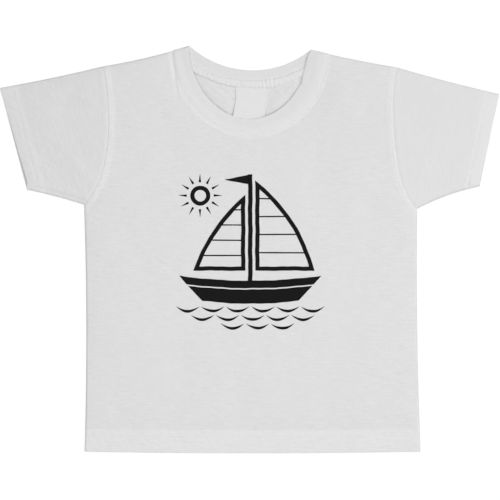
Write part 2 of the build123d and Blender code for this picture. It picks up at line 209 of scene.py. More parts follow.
@dataclass
class Sheet:
    """A grid of points on the middle of one layer of cloth, ready to be given its thickness.

    Attributes:
        points: positions in millimetres, indexed along the two ways of the grid.
        cloth: where each point is on the flat cloth, in millimetres, for the knit.
        thickness: one number, or one for each point.
        double: from 0 to 1, how far the cloth has another layer behind it.
        ring: True if the grid's first way closes on itself.
    """

    points: Array
    cloth: Array
    thickness: float | Array = 0.6
    double: Array | None = None
    ring: bool = False

    def ways(self) -> tuple[Array, Array]:
        """Unit directions along the grid's two ways, from central differences.

        Returns:
            The first way and the second, at each point.
        """
        p = self.points
        if self.ring:
            first = np.roll(p, -1, 0) - np.roll(p, 1, 0)
        else:
            first = np.gradient(p, axis=0)
        second = np.gradient(p, axis=1)
        unit = [w / np.maximum(np.linalg.norm(w, axis=-1, keepdims=True), 1e-9) for w in (first, second)]
        return unit[0], unit[1]

    def normals(self) -> Array:
        """Unit normals: the cross product of the two ways.

        Returns:
            A normal at each point.
        """
        first, second = self.ways()
        normal = np.cross(first, second)
        return normal / np.maximum(np.linalg.norm(normal, axis=-1, keepdims=True), 1e-9)

    def turned_in(self, rows: int, gap: float, out: float = 1.0) -> "Sheet":
        """Carries the cloth on past its last row, round a fold and back along its own inside.

        The fold is a half circle of half the gap about a line just inside the edge. The inside layer
        is the outer one moved in by the gap along the normal.

        Args:
            rows: how many rows the inside layer runs back over.
            gap: distance between the middles of the two layers.
            out: 1 if the normals point out of the shirt, and -1 if they point in.

        Returns:
            The longer sheet. Its double is 1 where the cloth lies double.
        """
        normal = self.normals() * out
        edge, edge_normal = self.points[:, -1], normal[:, -1]
        ahead = self.ways()[1][:, -1]
        radius = gap / 2
        turn = np.linspace(0, np.pi, 7)[None, 1:-1, None]
        centre = edge - radius * edge_normal - radius * ahead
        out_ahead = np.cos(turn) * edge_normal[:, None] + np.sin(turn) * ahead[:, None]
        fold = centre[:, None] + radius * out_ahead
        kept = self.points.copy()
        kept[:, -1] = edge - radius * ahead
        inside = (kept - gap * normal)[:, ::-1][:, :rows]
        folded_cloth = np.repeat(self.cloth[:, -1:], turn.shape[1], axis=1)
        cloth = np.concatenate([self.cloth, folded_cloth, self.cloth[:, ::-1][:, :rows]], axis=1)
        points = np.concatenate([kept, fold, inside], axis=1)
        double = np.zeros(points.shape[:2]) if self.double is None else self.double
        if double.shape[1] != points.shape[1]:
            more = np.ones((points.shape[0], points.shape[1] - double.shape[1]))
            double = np.concatenate([double, more], axis=1)
        return Sheet(points, cloth, self.thickness, double, self.ring)

    def solid(self) -> "Solid":
        """The closed shell of this cloth.

        The outer face is the middle plus half the thickness along the normal, the inner face is the
        middle minus it, and strips of faces join the two round every open edge.

        Returns:
            The shell, with its faces pointing outwards.
        """
        n, m = self.points.shape[:2]
        half = np.broadcast_to(np.asarray(self.thickness, float) / 2, (n, m))[..., None]
        normal = self.normals()
        outer_inner = [self.points + half * normal, self.points - half * normal]
        verts = np.concatenate([p.reshape(-1, 3) for p in outer_inner])
        columns = n if self.ring else n - 1

        def quads(*corners: tuple[int, Array, Array]) -> Array:
            """Faces from their corners, each given by its side and its place in the grid."""
            return np.stack([np.stack([np.full_like(i, side), i, j], -1) for side, i, j in corners], 1)

        i, j = (a.ravel() for a in np.meshgrid(np.arange(columns), np.arange(m - 1), indexing="ij"))
        faces = [
            quads((0, i, j), (0, i + 1, j), (0, i + 1, j + 1), (0, i, j + 1)),
            quads((1, i, j), (1, i, j + 1), (1, i + 1, j + 1), (1, i + 1, j)),
        ]
        k = np.arange(columns)
        low, high = np.zeros_like(k), np.full_like(k, m - 1)
        faces.append(quads((0, k, low), (1, k, low), (1, k + 1, low), (0, k + 1, low)))
        faces.append(quads((0, k, high), (0, k + 1, high), (1, k + 1, high), (1, k, high)))
        if not self.ring:
            k = np.arange(m - 1)
            low, high = np.zeros_like(k), np.full_like(k, n - 1)
            faces.append(quads((0, low, k), (0, low, k + 1), (1, low, k + 1), (1, low, k)))
            faces.append(quads((0, high, k), (1, high, k), (1, high, k + 1), (0, high, k + 1)))
        corners = np.concatenate(faces)
        index = corners[..., 0] * n * m + (corners[..., 1] % n) * m + corners[..., 2]
        flat = self.cloth[corners[..., 1], corners[..., 2]]
        double = np.zeros((n, m)) if self.double is None else self.double
        return Solid(verts, index, flat, np.concatenate([double.ravel()] * 2)).outwards()


@dataclass
class Solid:
    """A closed mesh of four-cornered faces, in millimetres.

    Attributes:
        verts: vertices.
        faces: four vertex numbers for each face.
        flat: place on the flat cloth of each face's corners.
        double: one number for each vertex, as in Sheet.
    """

    verts: Array
    faces: Array
    flat: Array
    double: Array

    def outwards(self) -> "Solid":
        """Turns the faces outwards.

        They are so when the sum of the triple products of the triangles' corners is above 0, which is
        six times the volume.

        Returns:
            This mesh, or the same one with its faces turned.
        """
        middle = self.verts.mean(axis=0)
        a, b, c, d = (self.verts[self.faces[:, k]] - middle for k in range(4))
        if (a * (np.cross(b, c) + np.cross(c, d))).sum() < 0:
            return Solid(self.verts, self.faces[:, ::-1], self.flat[:, ::-1], self.double)
        return self


def make(
    name: str, solids: Iterable[Solid], nodes: Iterable[str], material: Material
) -> bpy.types.Object:
    """Makes one object of one or more solids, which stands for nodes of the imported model.

    Args:
        name: name of the object.
        solids: the closed meshes.
        nodes: the nodes it replaces.
        material: its finish.

    Returns:
        The object, at the origin, with its place in its mesh.
    """
    solids = list(solids)
    starts = np.cumsum([0, *(len(solid.verts) for solid in solids)])
    verts = np.concatenate([solid.verts for solid in solids]) * MM
    faces = np.concatenate([solid.faces + start for solid, start in zip(solids, starts)])
    flat = np.concatenate([solid.flat for solid in solids]) * MM
    mesh = bpy.data.meshes.new(name)
    mesh.from_pydata(verts.tolist(), [], faces.tolist())
    mesh.polygons.foreach_set("use_smooth", np.ones(len(faces), dtype=bool))
    mesh.uv_layers.new(name="cloth").data.foreach_set("uv", flat.astype(np.float32).ravel())
    double = np.concatenate([solid.double for solid in solids]).astype(np.float32)
    mesh.attributes.new("double", "FLOAT", "POINT").data.foreach_set("value", double)
    mesh.materials.append(material)
    mesh.update()
    obj = bpy.data.objects.new(name, mesh)
    bpy.context.scene.collection.objects.link(obj)
    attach(obj, "root")
    if nodes:
        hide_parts(*nodes)
    log.info("%s: %d faces", name, len(faces))
    return obj


# How the shirt lies.


@dataclass(frozen=True)
class Side:
    """One side of the shirt as it lies, in millimetres in plan. Left and right are as seen from above.

    Attributes:
        name: left or right.
        turn: -1 on the left and 1 on the right.
        neck: neck point, where the shoulder line meets the band's free edge.
        shoulder: upper end of the armhole seam.
        cuff_top: upper corner of the cuff.
        cuff_low: lower corner of the cuff.
        armpit: lower end of the armhole seam.
        hem: corner of the hem.
        dip: where the armhole comes nearest to the centre line.
        armhole_turn: where the armhole starts to turn out towards the armpit.
        side_bow: how far the side curves in.
        underarm_bow: how far the underarm curves up.
        shoulder_sag: how far the shoulder line curves down.
        sleeve_sag: how far the sleeve's upper edge curves down.
        seam_roll: how far up the front the underarm seam lies.
        cuff_gap: how far the front layer stops short of the back one at the cuff's lower corner.
    """

    name: str
    turn: int
    neck: Pair
    shoulder: Pair
    cuff_top: Pair
    cuff_low: Pair
    armpit: Pair
    hem: Pair
    dip: Pair
    armhole_turn: Pair
    side_bow: float
    underarm_bow: float
    shoulder_sag: float
    sleeve_sag: float
    seam_roll: float
    cuff_gap: float

    def at(self, name: str) -> Array:
        """One of the side's points as an array."""
        return np.array(getattr(self, name))

    def on_shoulder(self, out: float) -> Array:
        """The point of the shoulder line at a distance along X outside the neck point.

        Args:
            out: the distance.

        Returns:
            The point.
        """
        line = self.shoulder_line()
        reach = np.abs(line[:, 0] - self.neck[0])
        return np.array([np.interp(out, reach, line[:, k]) for k in range(2)])

    def shoulder_line(self) -> Array:
        """The shoulder from the neck point to the armhole, sagging a little."""
        return bowed(self.at("neck"), self.at("shoulder"), self.turn * self.shoulder_sag, 25)

    def side_line(self) -> Array:
        """The side seam, from the hem up to the armpit."""
        return bowed(self.at("hem"), self.at("armpit"), -self.turn * self.side_bow)

    def armhole(self) -> Array:
        """The armhole seam, from the armpit up to the shoulder, as three arcs.

        Returns:
            Its points.
        """
        down = np.array([0.0, -1.0])
        middle, way = tangent_arc(self.at("dip"), self.at("armhole_turn"), down)
        lower, _ = tangent_arc(self.at("armhole_turn"), self.at("armpit"), way)
        upper, _ = tangent_arc(self.at("dip"), self.at("shoulder"), -down)
        return joined(lower[::-1], middle[::-1], upper)

    def underarm(self) -> Array:
        """The closed lower edge of the sleeve, from the armpit out to the cuff."""
        return bowed(self.at("armpit"), self.at("cuff_low"), -self.turn * self.underarm_bow)

    def sleeve_top(self) -> Array:
        """The folded upper edge of the sleeve, from the armhole out to the cuff."""
        return bowed(self.at("shoulder"), self.at("cuff_top"), self.turn * self.sleeve_sag)

    def cuff(self) -> Array:
        """The cuff, from its lower corner up to its upper one."""
        return straight(self.at("cuff_low"), self.at("cuff_top"))


LEFT = Side(
    name="left",
    turn=-1,
    neck=(-59.7, 203.85),
    shoulder=(-146.2, 183.35),
    cuff_top=(-249.0, 161.85),
    cuff_low=(-222.1, 60.5),
    armpit=(-164.9, 45.5),
    hem=(-164.4, -201.3),
    dip=(-140.9, 124.85),
    armhole_turn=(-146.0, 82.35),
    side_bow=2.0,
    underarm_bow=0.8,
    shoulder_sag=1.6,
    sleeve_sag=0.9,
    seam_roll=3.6,
    cuff_gap=2.6,
)
RIGHT = Side(
    name="right",
    turn=1,
    neck=(61.7, 199.85),
    shoulder=(147.7, 182.35),
    cuff_top=(249.5, 155.85),
    cuff_low=(230.2, 63.85),
    armpit=(167.7, 41.35),
    hem=(171.0, -201.3),
    dip=(143.3, 144.85),
    armhole_turn=(150.1, 74.85),
    side_bow=1.6,
    underarm_bow=2.3,
    shoulder_sag=0.9,
    sleeve_sag=0.9,
    seam_roll=0.6,
    cuff_gap=1.2,
)
SIDES = (LEFT, RIGHT)

# The hems, from their edges in, and the neck's lowest points and width of band, in millimetres.
HEM_SAG = 1.5
HEM_DEPTH = 22.4
HEM_STITCHES = (15.6, 21.2)
CUFF_HEM_DEPTH = 18.0
CUFF_STITCHES = (11.6, 16.8)
FRONT_NECK_LOW = 130.85
BACK_NECK_LOW = 179.35
BAND_WIDTH = 15.0
BAND_WIDTH_AT_SHOULDER = 15.5

# How far left the front's free edge is pulled on the left and the right, the sines at which it is pulled
# most, and how much less it is pulled on the right about a sine, over a width.
NECK_PULLS = (1.5, 4.0)
NECK_PULL_SINES = (0.12, 0.3)
NECK_PULL_DENT = (1.6, 0.49, 0.08)
BACK_NECK_SHIFT = 2.0

# Widths, thicknesses of cloth and gaps that several pieces share, in millimetres.
NECK_ALLOWANCE = 4.4
NECK_STITCHES_BELOW = 3.2
ARMHOLE_ALLOWANCE = 6.4
JERSEY = 0.6
RIB = 0.66
FOLD_GAP = 0.06
SEAM_WIDTH = 0.8


def hem_line(count: int = 17) -> Array:
    """The hem, from its left corner to its right one, sagging in the middle."""
    return bowed(LEFT.at("hem"), RIGHT.at("hem"), HEM_SAG, count)


def front_neck(out: float, count: int = 73) -> Array:
    """An edge of the front neck, from left to right, as two quarter ellipses that meet at the bottom.

    Below the shoulders the free edge lies further left, by a shift times p times e to the 1 - p, p
    being the sine over its value where the shift is greatest.

    Args:
        out: share of the band's width outside its free edge.
        count: number of points.

    Returns:
        The points: centre plus half width times cosine, and end height down to low by sine.
    """
    left, right = (side.on_shoulder(out * BAND_WIDTH_AT_SHOULDER) for side in SIDES)
    low = FRONT_NECK_LOW - out * BAND_WIDTH
    turn = np.linspace(0, np.pi, count)
    sine, on_left = np.sin(turn), turn < np.pi / 2
    level = np.where(on_left, left[1], right[1])
    half, middle = (right[0] - left[0]) / 2, (right[0] + left[0]) / 2
    part = sine / np.where(on_left, *NECK_PULL_SINES)
    less, *dent = NECK_PULL_DENT
    pull = np.where(on_left, NECK_PULLS[0], NECK_PULLS[1] - less * bump(sine, *dent))
    shift = pull * (1 - out) * part * np.exp(1 - part)
    return np.stack([middle - half * np.cos(turn) - shift, level - (level - low) * sine], 1)


def back_neck(out: float, count: int = 41) -> Array:
    """An edge of the back neck, from left to right, as a circular arc.

    Args:
        out: share of the band's width outside its free edge.
        count: number of points.

    Returns:
        The points.
    """
    left, right = (side.on_shoulder(out * BAND_WIDTH_AT_SHOULDER) for side in SIDES)
    low = np.array([(left[0] + right[0]) / 2 + BACK_NECK_SHIFT, BACK_NECK_LOW - out * BAND_WIDTH])
    return arc_through(left, low, right, count)


class Layer(Enum):
    """The layers of the shirt as it lies: the front is on top, and the back on the surface."""

    FRONT = "front"
    BACK = "back"


@dataclass(frozen=True)
class Crease:
    """A soft fold of the front: a ridge of bell section from start to end that dies away at both."""

    start: Pair
    end: Pair
    width: float
    height: float

    def raised(self, points: Array) -> Array:
        """Height at points: height times e to the -(distance / width) squared, times 4 s (1 - s).

        Args:
            points: plan points.

        Returns:
            What the crease adds there.
        """
        a, b = np.array(self.start), np.array(self.end)
        way = b - a
        share = np.clip(((points - a) @ way) / (way @ way), 0, 1)
        away = np.linalg.norm(points - a - share[..., None] * way, axis=-1)
        return self.height * np.exp(-((away / self.width) ** 2)) * 4 * share * (1 - share)


@dataclass
class Drape:
    """The heights of the cloth as it lies.

    Along the closed edges, the front comes down in a quarter of an ellipse to the seam height, and
    the back turns up to it. Elsewhere the front floats on the air between the layers, with soft
    creases, and it sinks towards every edge, as e to the minus of the distance over a reach.

    Attributes:
        loft: height of the front away from the edges.
        rest: height of the back.
        seam: height at which front and back meet along the closed edges.
        front_round: how far in from a closed edge the front is rounded.
        back_round: the same for the back.
        falls: how far the front sinks at its shoulders and sleeves, hem, cuffs, neck and sides, and
            over what reach.
        cuff_falls: how many times as far it sinks at the left cuff and at the right one.
        right_fall: share by which it sinks further on the right of the neck.
        right_reach: over which distances from the centre line that sets in.
        swells: number of waves in the front's gentle swell.
        swell: height of each of them.
        swell_lengths: their least and greatest length.
        seed: seed of the swell's directions and phases.
        creases: the front's soft folds.
    """

    loft: float = 6.3
    rest: float = 0.33
    seam: float = 1.7
    front_round: float = 1.7
    back_round: float = 1.3
    falls: tuple[Pair, ...] = ((2.3, 11.0), (2.4, 20.0), (2.5, 14.0), (3.2, 45.0), (1.0, 8.0))
    cuff_falls: Pair = (1.0, 0.64)
    right_fall: float = 0.24
    right_reach: Pair = (5.0, 40.0)
    swells: int = 18
    swell: float = 0.07
    swell_lengths: Pair = (32.0, 120.0)
    seed: int = 11
    creases: tuple[Crease, ...] = (
        Crease((-160, 36), (-84, 92), 9, 0.55),
        Crease((-166, 22), (-98, 60), 8, -0.40),
        Crease((-162, 8), (-104, 24), 9, 0.35),
        Crease((162, 32), (92, 82), 9, 0.50),
        Crease((166, 18), (104, 48), 8, -0.38),
        Crease((165, -6), (118, 6), 8, 0.30),
        Crease((-158, 66), (-206, 132), 7, 0.50),
        Crease((-168, 60), (-222, 108), 6, -0.40),
        Crease((-146, 120), (-192, 160), 8, -0.35),
        Crease((158, 62), (200, 128), 7, 0.45),
        Crease((168, 56), (218, 104), 6, -0.40),
        Crease((148, 120), (196, 156), 8, -0.35),
        Crease((-104, 178), (-66, 128), 7, 0.5),
        Crease((104, 176), (70, 120), 7, 0.5),
        Crease((-130, 172), (-96, 104), 7, -0.35),
        Crease((128, 170), (98, 96), 7, -0.35),
        Crease((-178, 168), (-206, 148), 4, 0.4),
        Crease((-166, 170), (-190, 136), 4, -0.35),
        Crease((176, 166), (212, 150), 5, 0.3),
        Crease((-80, 210), (-71, 150), 2.0, -1.3),
        Crease((-66, 212), (-53, 172), 5, 0.8),
        Crease((-88, 92), (-40, 62), 12, -0.25),
        Crease((-150, -60), (-96, -84), 11, 0.28),
        Crease((150, -96), (84, -112), 12, 0.28),
        Crease((-60, -128), (24, -142), 12, -0.24),
        Crease((20, -166), (96, -158), 9, 0.22),
        Crease((-140, -150), (-70, -166), 9, 0.24),
    )
    _closed: list[Array] = field(default_factory=list)

    def __post_init__(self) -> None:
        """Gathers the closed edges, and the directions and phases of the swell."""
        for side in SIDES:
            self._closed += [side.underarm(), side.sleeve_top(), side.shoulder_line()]
        self._closed += [side.side_line() for side in SIDES]
        random = np.random.default_rng(self.seed)
        angle = random.uniform(0, np.pi, self.swells)
        wave = 2 * np.pi / random.uniform(*self.swell_lengths, self.swells)
        self._waves = np.stack([np.cos(angle) * wave, np.sin(angle) * wave])
        self._phases = random.uniform(0, 2 * np.pi, self.swells)

    def edge_distances(self, points: Array) -> tuple[Array, Array]:
        """Distances to the nearest shoulder or sleeve edge, and to the nearer side."""
        away = [distance(points, line) for line in self._closed]
        return np.min(away[:-2], axis=0), np.min(away[-2:], axis=0)

    def edge_distance(self, points: Array) -> Array:
        """Distance to the nearest closed edge."""
        return np.minimum(*self.edge_distances(points))

    @staticmethod
    def rise(distance_in: Array, width: float) -> Array:
        """A quarter of an ellipse: the root of 1 - (1 - d / width) squared, then level."""
        return np.sqrt(1 - (1 - np.clip(distance_in / width, 0, 1)) ** 2)

    def front(self, points: Array, relief: Array | float = 0.0) -> Array:
        """Height of the front at points, with relief added where the cloth is clear of its edges.

        Args:
            points: plan points.
            relief: what seams and stitches add.

        Returns:
            Heights of the middle of the cloth.
        """
        level = self.loft + self.swell * np.sin(points @ self._waves + self._phases).sum(axis=-1)
        for crease in self.creases:
            level = level + crease.raised(points)
        closed, sides = self.edge_distances(points)
        cuff = np.min([distance(points, side.cuff()) for side in SIDES], axis=0)
        edges = closed, distance(points, hem_line()), cuff, distance(points, front_neck(0.0)), sides
        falls = [fall * np.exp(-edge / reach) for edge, (fall, reach) in zip(edges, self.falls)]
        falls[2] = falls[2] * np.where(points[..., 0] < 0, *self.cuff_falls)
        falls[3] = falls[3] * (1 + self.right_fall * step(points[..., 0], *self.right_reach))
        level -= sum(fall**4 for fall in falls) ** 0.25
        rise = self.rise(np.minimum(closed, sides), self.front_round)
        return self.seam + (level + relief - self.seam) * rise

    def back(self, points: Array, relief: Array | float = 0.0, rest: float | None = None) -> Array:
        """Height of the back at points. rest is that of another cloth than the jersey."""
        base = (self.rest if rest is None else rest) + relief
        return self.seam - (self.seam - base) * self.rise(self.edge_distance(points), self.back_round)


def lifted(points: Array, height: Array) -> Array:
    """Plan points with their heights as the third coordinate."""
    return np.concatenate([points, height[..., None]], axis=-1)


ROUNDED = np.array([0.0, 0.08, 0.25, 0.5, 0.85, 1.3])


def spaced(*stretches: Pair, start_round: bool = False, end_round: bool = False) -> Array:
    """Shares of a length that is made of stretches, each in even steps.

    Args:
        stretches: length of each stretch and size of its steps, in millimetres.
        start_round: True if the steps grow from a tenth of a millimetre, as a rounded edge needs.
        end_round: the same for the end.

    Returns:
        Shares from 0 to 1.
    """
    marks = np.zeros(1)
    for length, size in stretches:
        count = max(1, round(length / size))
        marks = np.concatenate([marks, marks[-1] + length * np.arange(1, count + 1) / count])
    total = marks[-1]
    if start_round:
        marks = np.concatenate([ROUNDED, marks[marks > ROUNDED[-1] + 0.2]])
    if end_round:
        marks = np.concatenate([marks[marks < total - ROUNDED[-1] - 0.2], total - ROUNDED[::-1]])
    return marks / total


def faced(height: Callable[[Array], Array], points: Array, layer: Layer, out: float) -> tuple[Array, Array]:
    """Places above a layer's outer face, and the normals there.

    The slopes are differences of the height over a millimetre. The normal is (-slope along X, -slope
    along Y, 1) at unit length, and points down on the back.

    Args:
        height: height of the middle of the cloth at plan points.
        points: plan points.
        layer: front or back.
        out: how far outside the outer face.

    Returns:
        Positions and unit normals.
    """
    shifts = np.array([0.5, 0.0]), np.array([0.0, 0.5])
    slopes = [height(points + shift) - height(points - shift) for shift in shifts]
    normal = np.stack([-slopes[0], -slopes[1], np.ones_like(slopes[0])], axis=-1)
    normal /= np.linalg.norm(normal, axis=-1, keepdims=True) * (1 if layer is Layer.FRONT else -1)
    return lifted(points, height(points)) + (JERSEY / 2 + out) * normal, normal


# The cloth pieces of the shirt.


@dataclass
class Body:
    """The front and back panels: grids between the hem, the sides with the armholes, and the top."""

    drape: Drape
    across: tuple[Pair, ...] = ((9, 0.9), (312, 2.2), (9, 0.9))
    up: tuple[Pair, ...] = ((30, 0.95), (350, 2.2), (50, 1.2), (10, 0.9))
    middle_length: float = 360.0
    armhole_ridge: float = 0.3
    armhole_dip: float = 0.22
    gather: float = 0.07
    neck_ridge: float = 0.15
    neck_dip: float = 0.05
    hem_raise: float = 0.28
    stitch_dip: float = 0.1
    hem_ripple: float = 0.05
    tuck: float = 0.2
    inner_folds: float = 0.6
    inner_rise: float = 0.5
    ripple_length: float = 8.5
    gather_length: float = 4.7
    label_middle: Pair = (1.0, 146.0)
    armhole_doubles: Pair = (0.95, 0.7)
    back_cloth: Pair = (800.0, 0.0)

    def neck(self, layer: Layer) -> Array:
        """The seam between a layer and the band."""
        return front_neck(1.0) if layer is Layer.FRONT else back_neck(1.0)

    def near(self, points: Array, layer: Layer) -> tuple[Array, Array, Array]:
        """Distances from points to the nearer armhole, to the neck's seam and to the hem."""
        arm = np.min([distance(points, side.armhole()) for side in SIDES], axis=0)
        return arm, distance(points, self.neck(layer)), distance(points, hem_line())

    def relief(self, points: Array, layer: Layer) -> Array:
        """What seams and stitches add to the height: ridges over seam allowances, with dips beside them.

        Args:
            points: plan points.
            layer: front or back.

        Returns:
            The rise at each point.
        """
        arm, neck, hem = self.near(points, layer)
        x, y = points[..., 0], points[..., 1]
        stitches = sum(bump(hem, row, SEAM_WIDTH) for row in HEM_STITCHES)
        arm_seam, neck_seam = bump(arm, 0, SEAM_WIDTH), bump(neck, 0, SEAM_WIDTH)
        if layer is Layer.BACK:
            height = 0.4 * arm_seam + 0.3 * neck_seam + 0.15 * stitches
            return height + 0.1 * bump(neck, NECK_STITCHES_BELOW, 0.6) + self.inside(points, neck)
        ridge_end = arm + 0.6 * np.sin(y / 6.1) - ARMHOLE_ALLOWANCE
        ridge = step(arm, 0.3, 1.3) * (1 - step(ridge_end, -1.6, 1.4))
        height = self.armhole_ridge * ridge - self.armhole_dip * arm_seam
        gathers = np.sin(y * 2 * np.pi / self.gather_length + 1.6 * np.sin(y / 9.0))
        height += self.gather * gathers * step(arm, 0.8, 3) * (1 - step(arm, 7, 13))
        ridge = step(neck, 0.2, 1.2) * (1 - step(neck - NECK_ALLOWANCE, -0.7, 0.5))
        height += self.neck_ridge * (0.4 + 0.6 * bump(x, -25, 40)) * ridge - self.neck_dip * neck_seam
        height -= self.stitch_dip * (bump(neck, NECK_ALLOWANCE, 0.7) + stitches)
        ripple = np.sin((x + 0.5 * y) * 2 * np.pi / self.ripple_length) * step(hem, 1, 5)
        return height + (1 - step(hem - HEM_DEPTH, -0.6, 0.6)) * (self.hem_raise + self.hem_ripple * ripple)

    def inside(self, points: Array, neck: Array) -> Array:
        """What the back rises by inside the neck, beside the label.

        It has a ridge, a bell 8 mm inside the free edge of the band and a smooth step under that
        edge, and small folds that are sums of sines and fade away from the label.

        Args:
            points: plan points of the back.
            neck: their distances to the back neck's seam.

        Returns:
            The rise.
        """
        x, y = points[..., 0], points[..., 1]
        middle_x, middle_y = self.label_middle
        under_band = distance(points, front_neck(0.5)) < BAND_WIDTH / 2 + 0.1
        free = np.where(under_band, 0.0, distance(points, front_neck(0.0)))
        fold = np.sin(free * 1.1 + 1.8 * np.sin(x / 8 + 1) + 1.2 * np.sin(y / 6))
        fold += 0.7 * np.sin(x / 1.9 + y / 1.7)
        clear = step(np.abs(x - middle_x), 17, 23) * step(neck, 3, 9)
        near = np.exp(-((x - middle_x) ** 2 + (y - middle_y) ** 2) / 56**2)
        ridge = self.inner_rise * (bump(free, 8, 3.6) + 0.6 * (1 - step(free, 1, 5)))
        return clear * (near * self.inner_folds * (1 + 0.5 * fold) * step(free, 1, 5) + ridge)

    def front(self, points: Array) -> Array:
        """Height of the front panel, seams and stitches included."""
        return self.drape.front(points, self.relief(points, Layer.FRONT))

    def back(self, points: Array) -> Array:
        """Height of the back panel, seams and stitches included."""
        return self.drape.back(points, self.relief(points, Layer.BACK))

    def plan(self, layer: Layer) -> tuple[Array, int]:
        """The panel's points in plan, and how many rows its turned-in hem takes.

        The grid's sides run up the side, the armhole and the shoulder. Its top is the neck's seam.

        Args:
            layer: front or back.

        Returns:
            Points indexed from left to right and from the neck down to the hem, and the number of rows.
        """
        across = spaced(*self.across, start_round=True, end_round=True)
        up = spaced(*self.up, end_round=True)
        edges = []
        for side in SIDES:
            line = side.shoulder_line()
            line = line[np.abs(line[:, 0] - side.neck[0]) > BAND_WIDTH_AT_SHOULDER]
            shoulder = np.concatenate([line[::-1], side.on_shoulder(BAND_WIDTH_AT_SHOULDER)[None]])
            edges.append(at_shares(joined(side.side_line(), side.armhole(), shoulder), up))
        ends = [at_shares(line, across) for line in (hem_line(), self.neck(layer))]
        return between(across, up, *ends, *edges)[:, ::-1], int((up * self.middle_length < HEM_DEPTH).sum())

    def panel(self, layer: Layer) -> Solid:
        """One panel, with its hem turned in, and with one more row that tucks under the band.

        Args:
            layer: front or back.

        Returns:
            Its closed mesh.
        """
        plan, rows = self.plan(layer)
        front = layer is Layer.FRONT
        arm, neck, hem = self.near(plan, layer)
        edges = [
            np.where(plan[..., 0] < 0, *self.armhole_doubles) * (1 - step(arm - ARMHOLE_ALLOWANCE, -1, 1)),
            1 - step(neck - NECK_ALLOWANCE, -0.5, 0.5),
            1 - step(hem - HEM_DEPTH, -0.5, 0.5),
        ]
        cloth = plan if front else np.array(self.back_cloth) + plan * np.array([-1.0, 1.0])
        points = lifted(plan, self.front(plan) if front else self.back(plan))
        tuck = points[:, 0] - points[:, 1]
        tuck[:, 2] = 0
        tuck = points[:, 0] + tuck / np.maximum(np.linalg.norm(tuck, axis=1, keepdims=True), 0.01)
        tuck[:, 2] -= self.tuck if front else -self.tuck
        points, cloth = np.concatenate([tuck[:, None], points], 1), np.concatenate([cloth[:, :1], cloth], 1)
        double = np.maximum.reduce(edges)
        sheet = Sheet(points, cloth, JERSEY, np.concatenate([double[:, :1], double], 1))
        return sheet.turned_in(rows, JERSEY + FOLD_GAP, -1.0 if front else 1.0).solid()

    def build(self, finish: Material) -> None:
        """Both panels.

        Args:
            finish: that of the jersey.
        """
        for layer in Layer:
            name = f"{layer.value}_panel"
            panel = make(name + "_cloth", [self.panel(layer)], [name], finish)


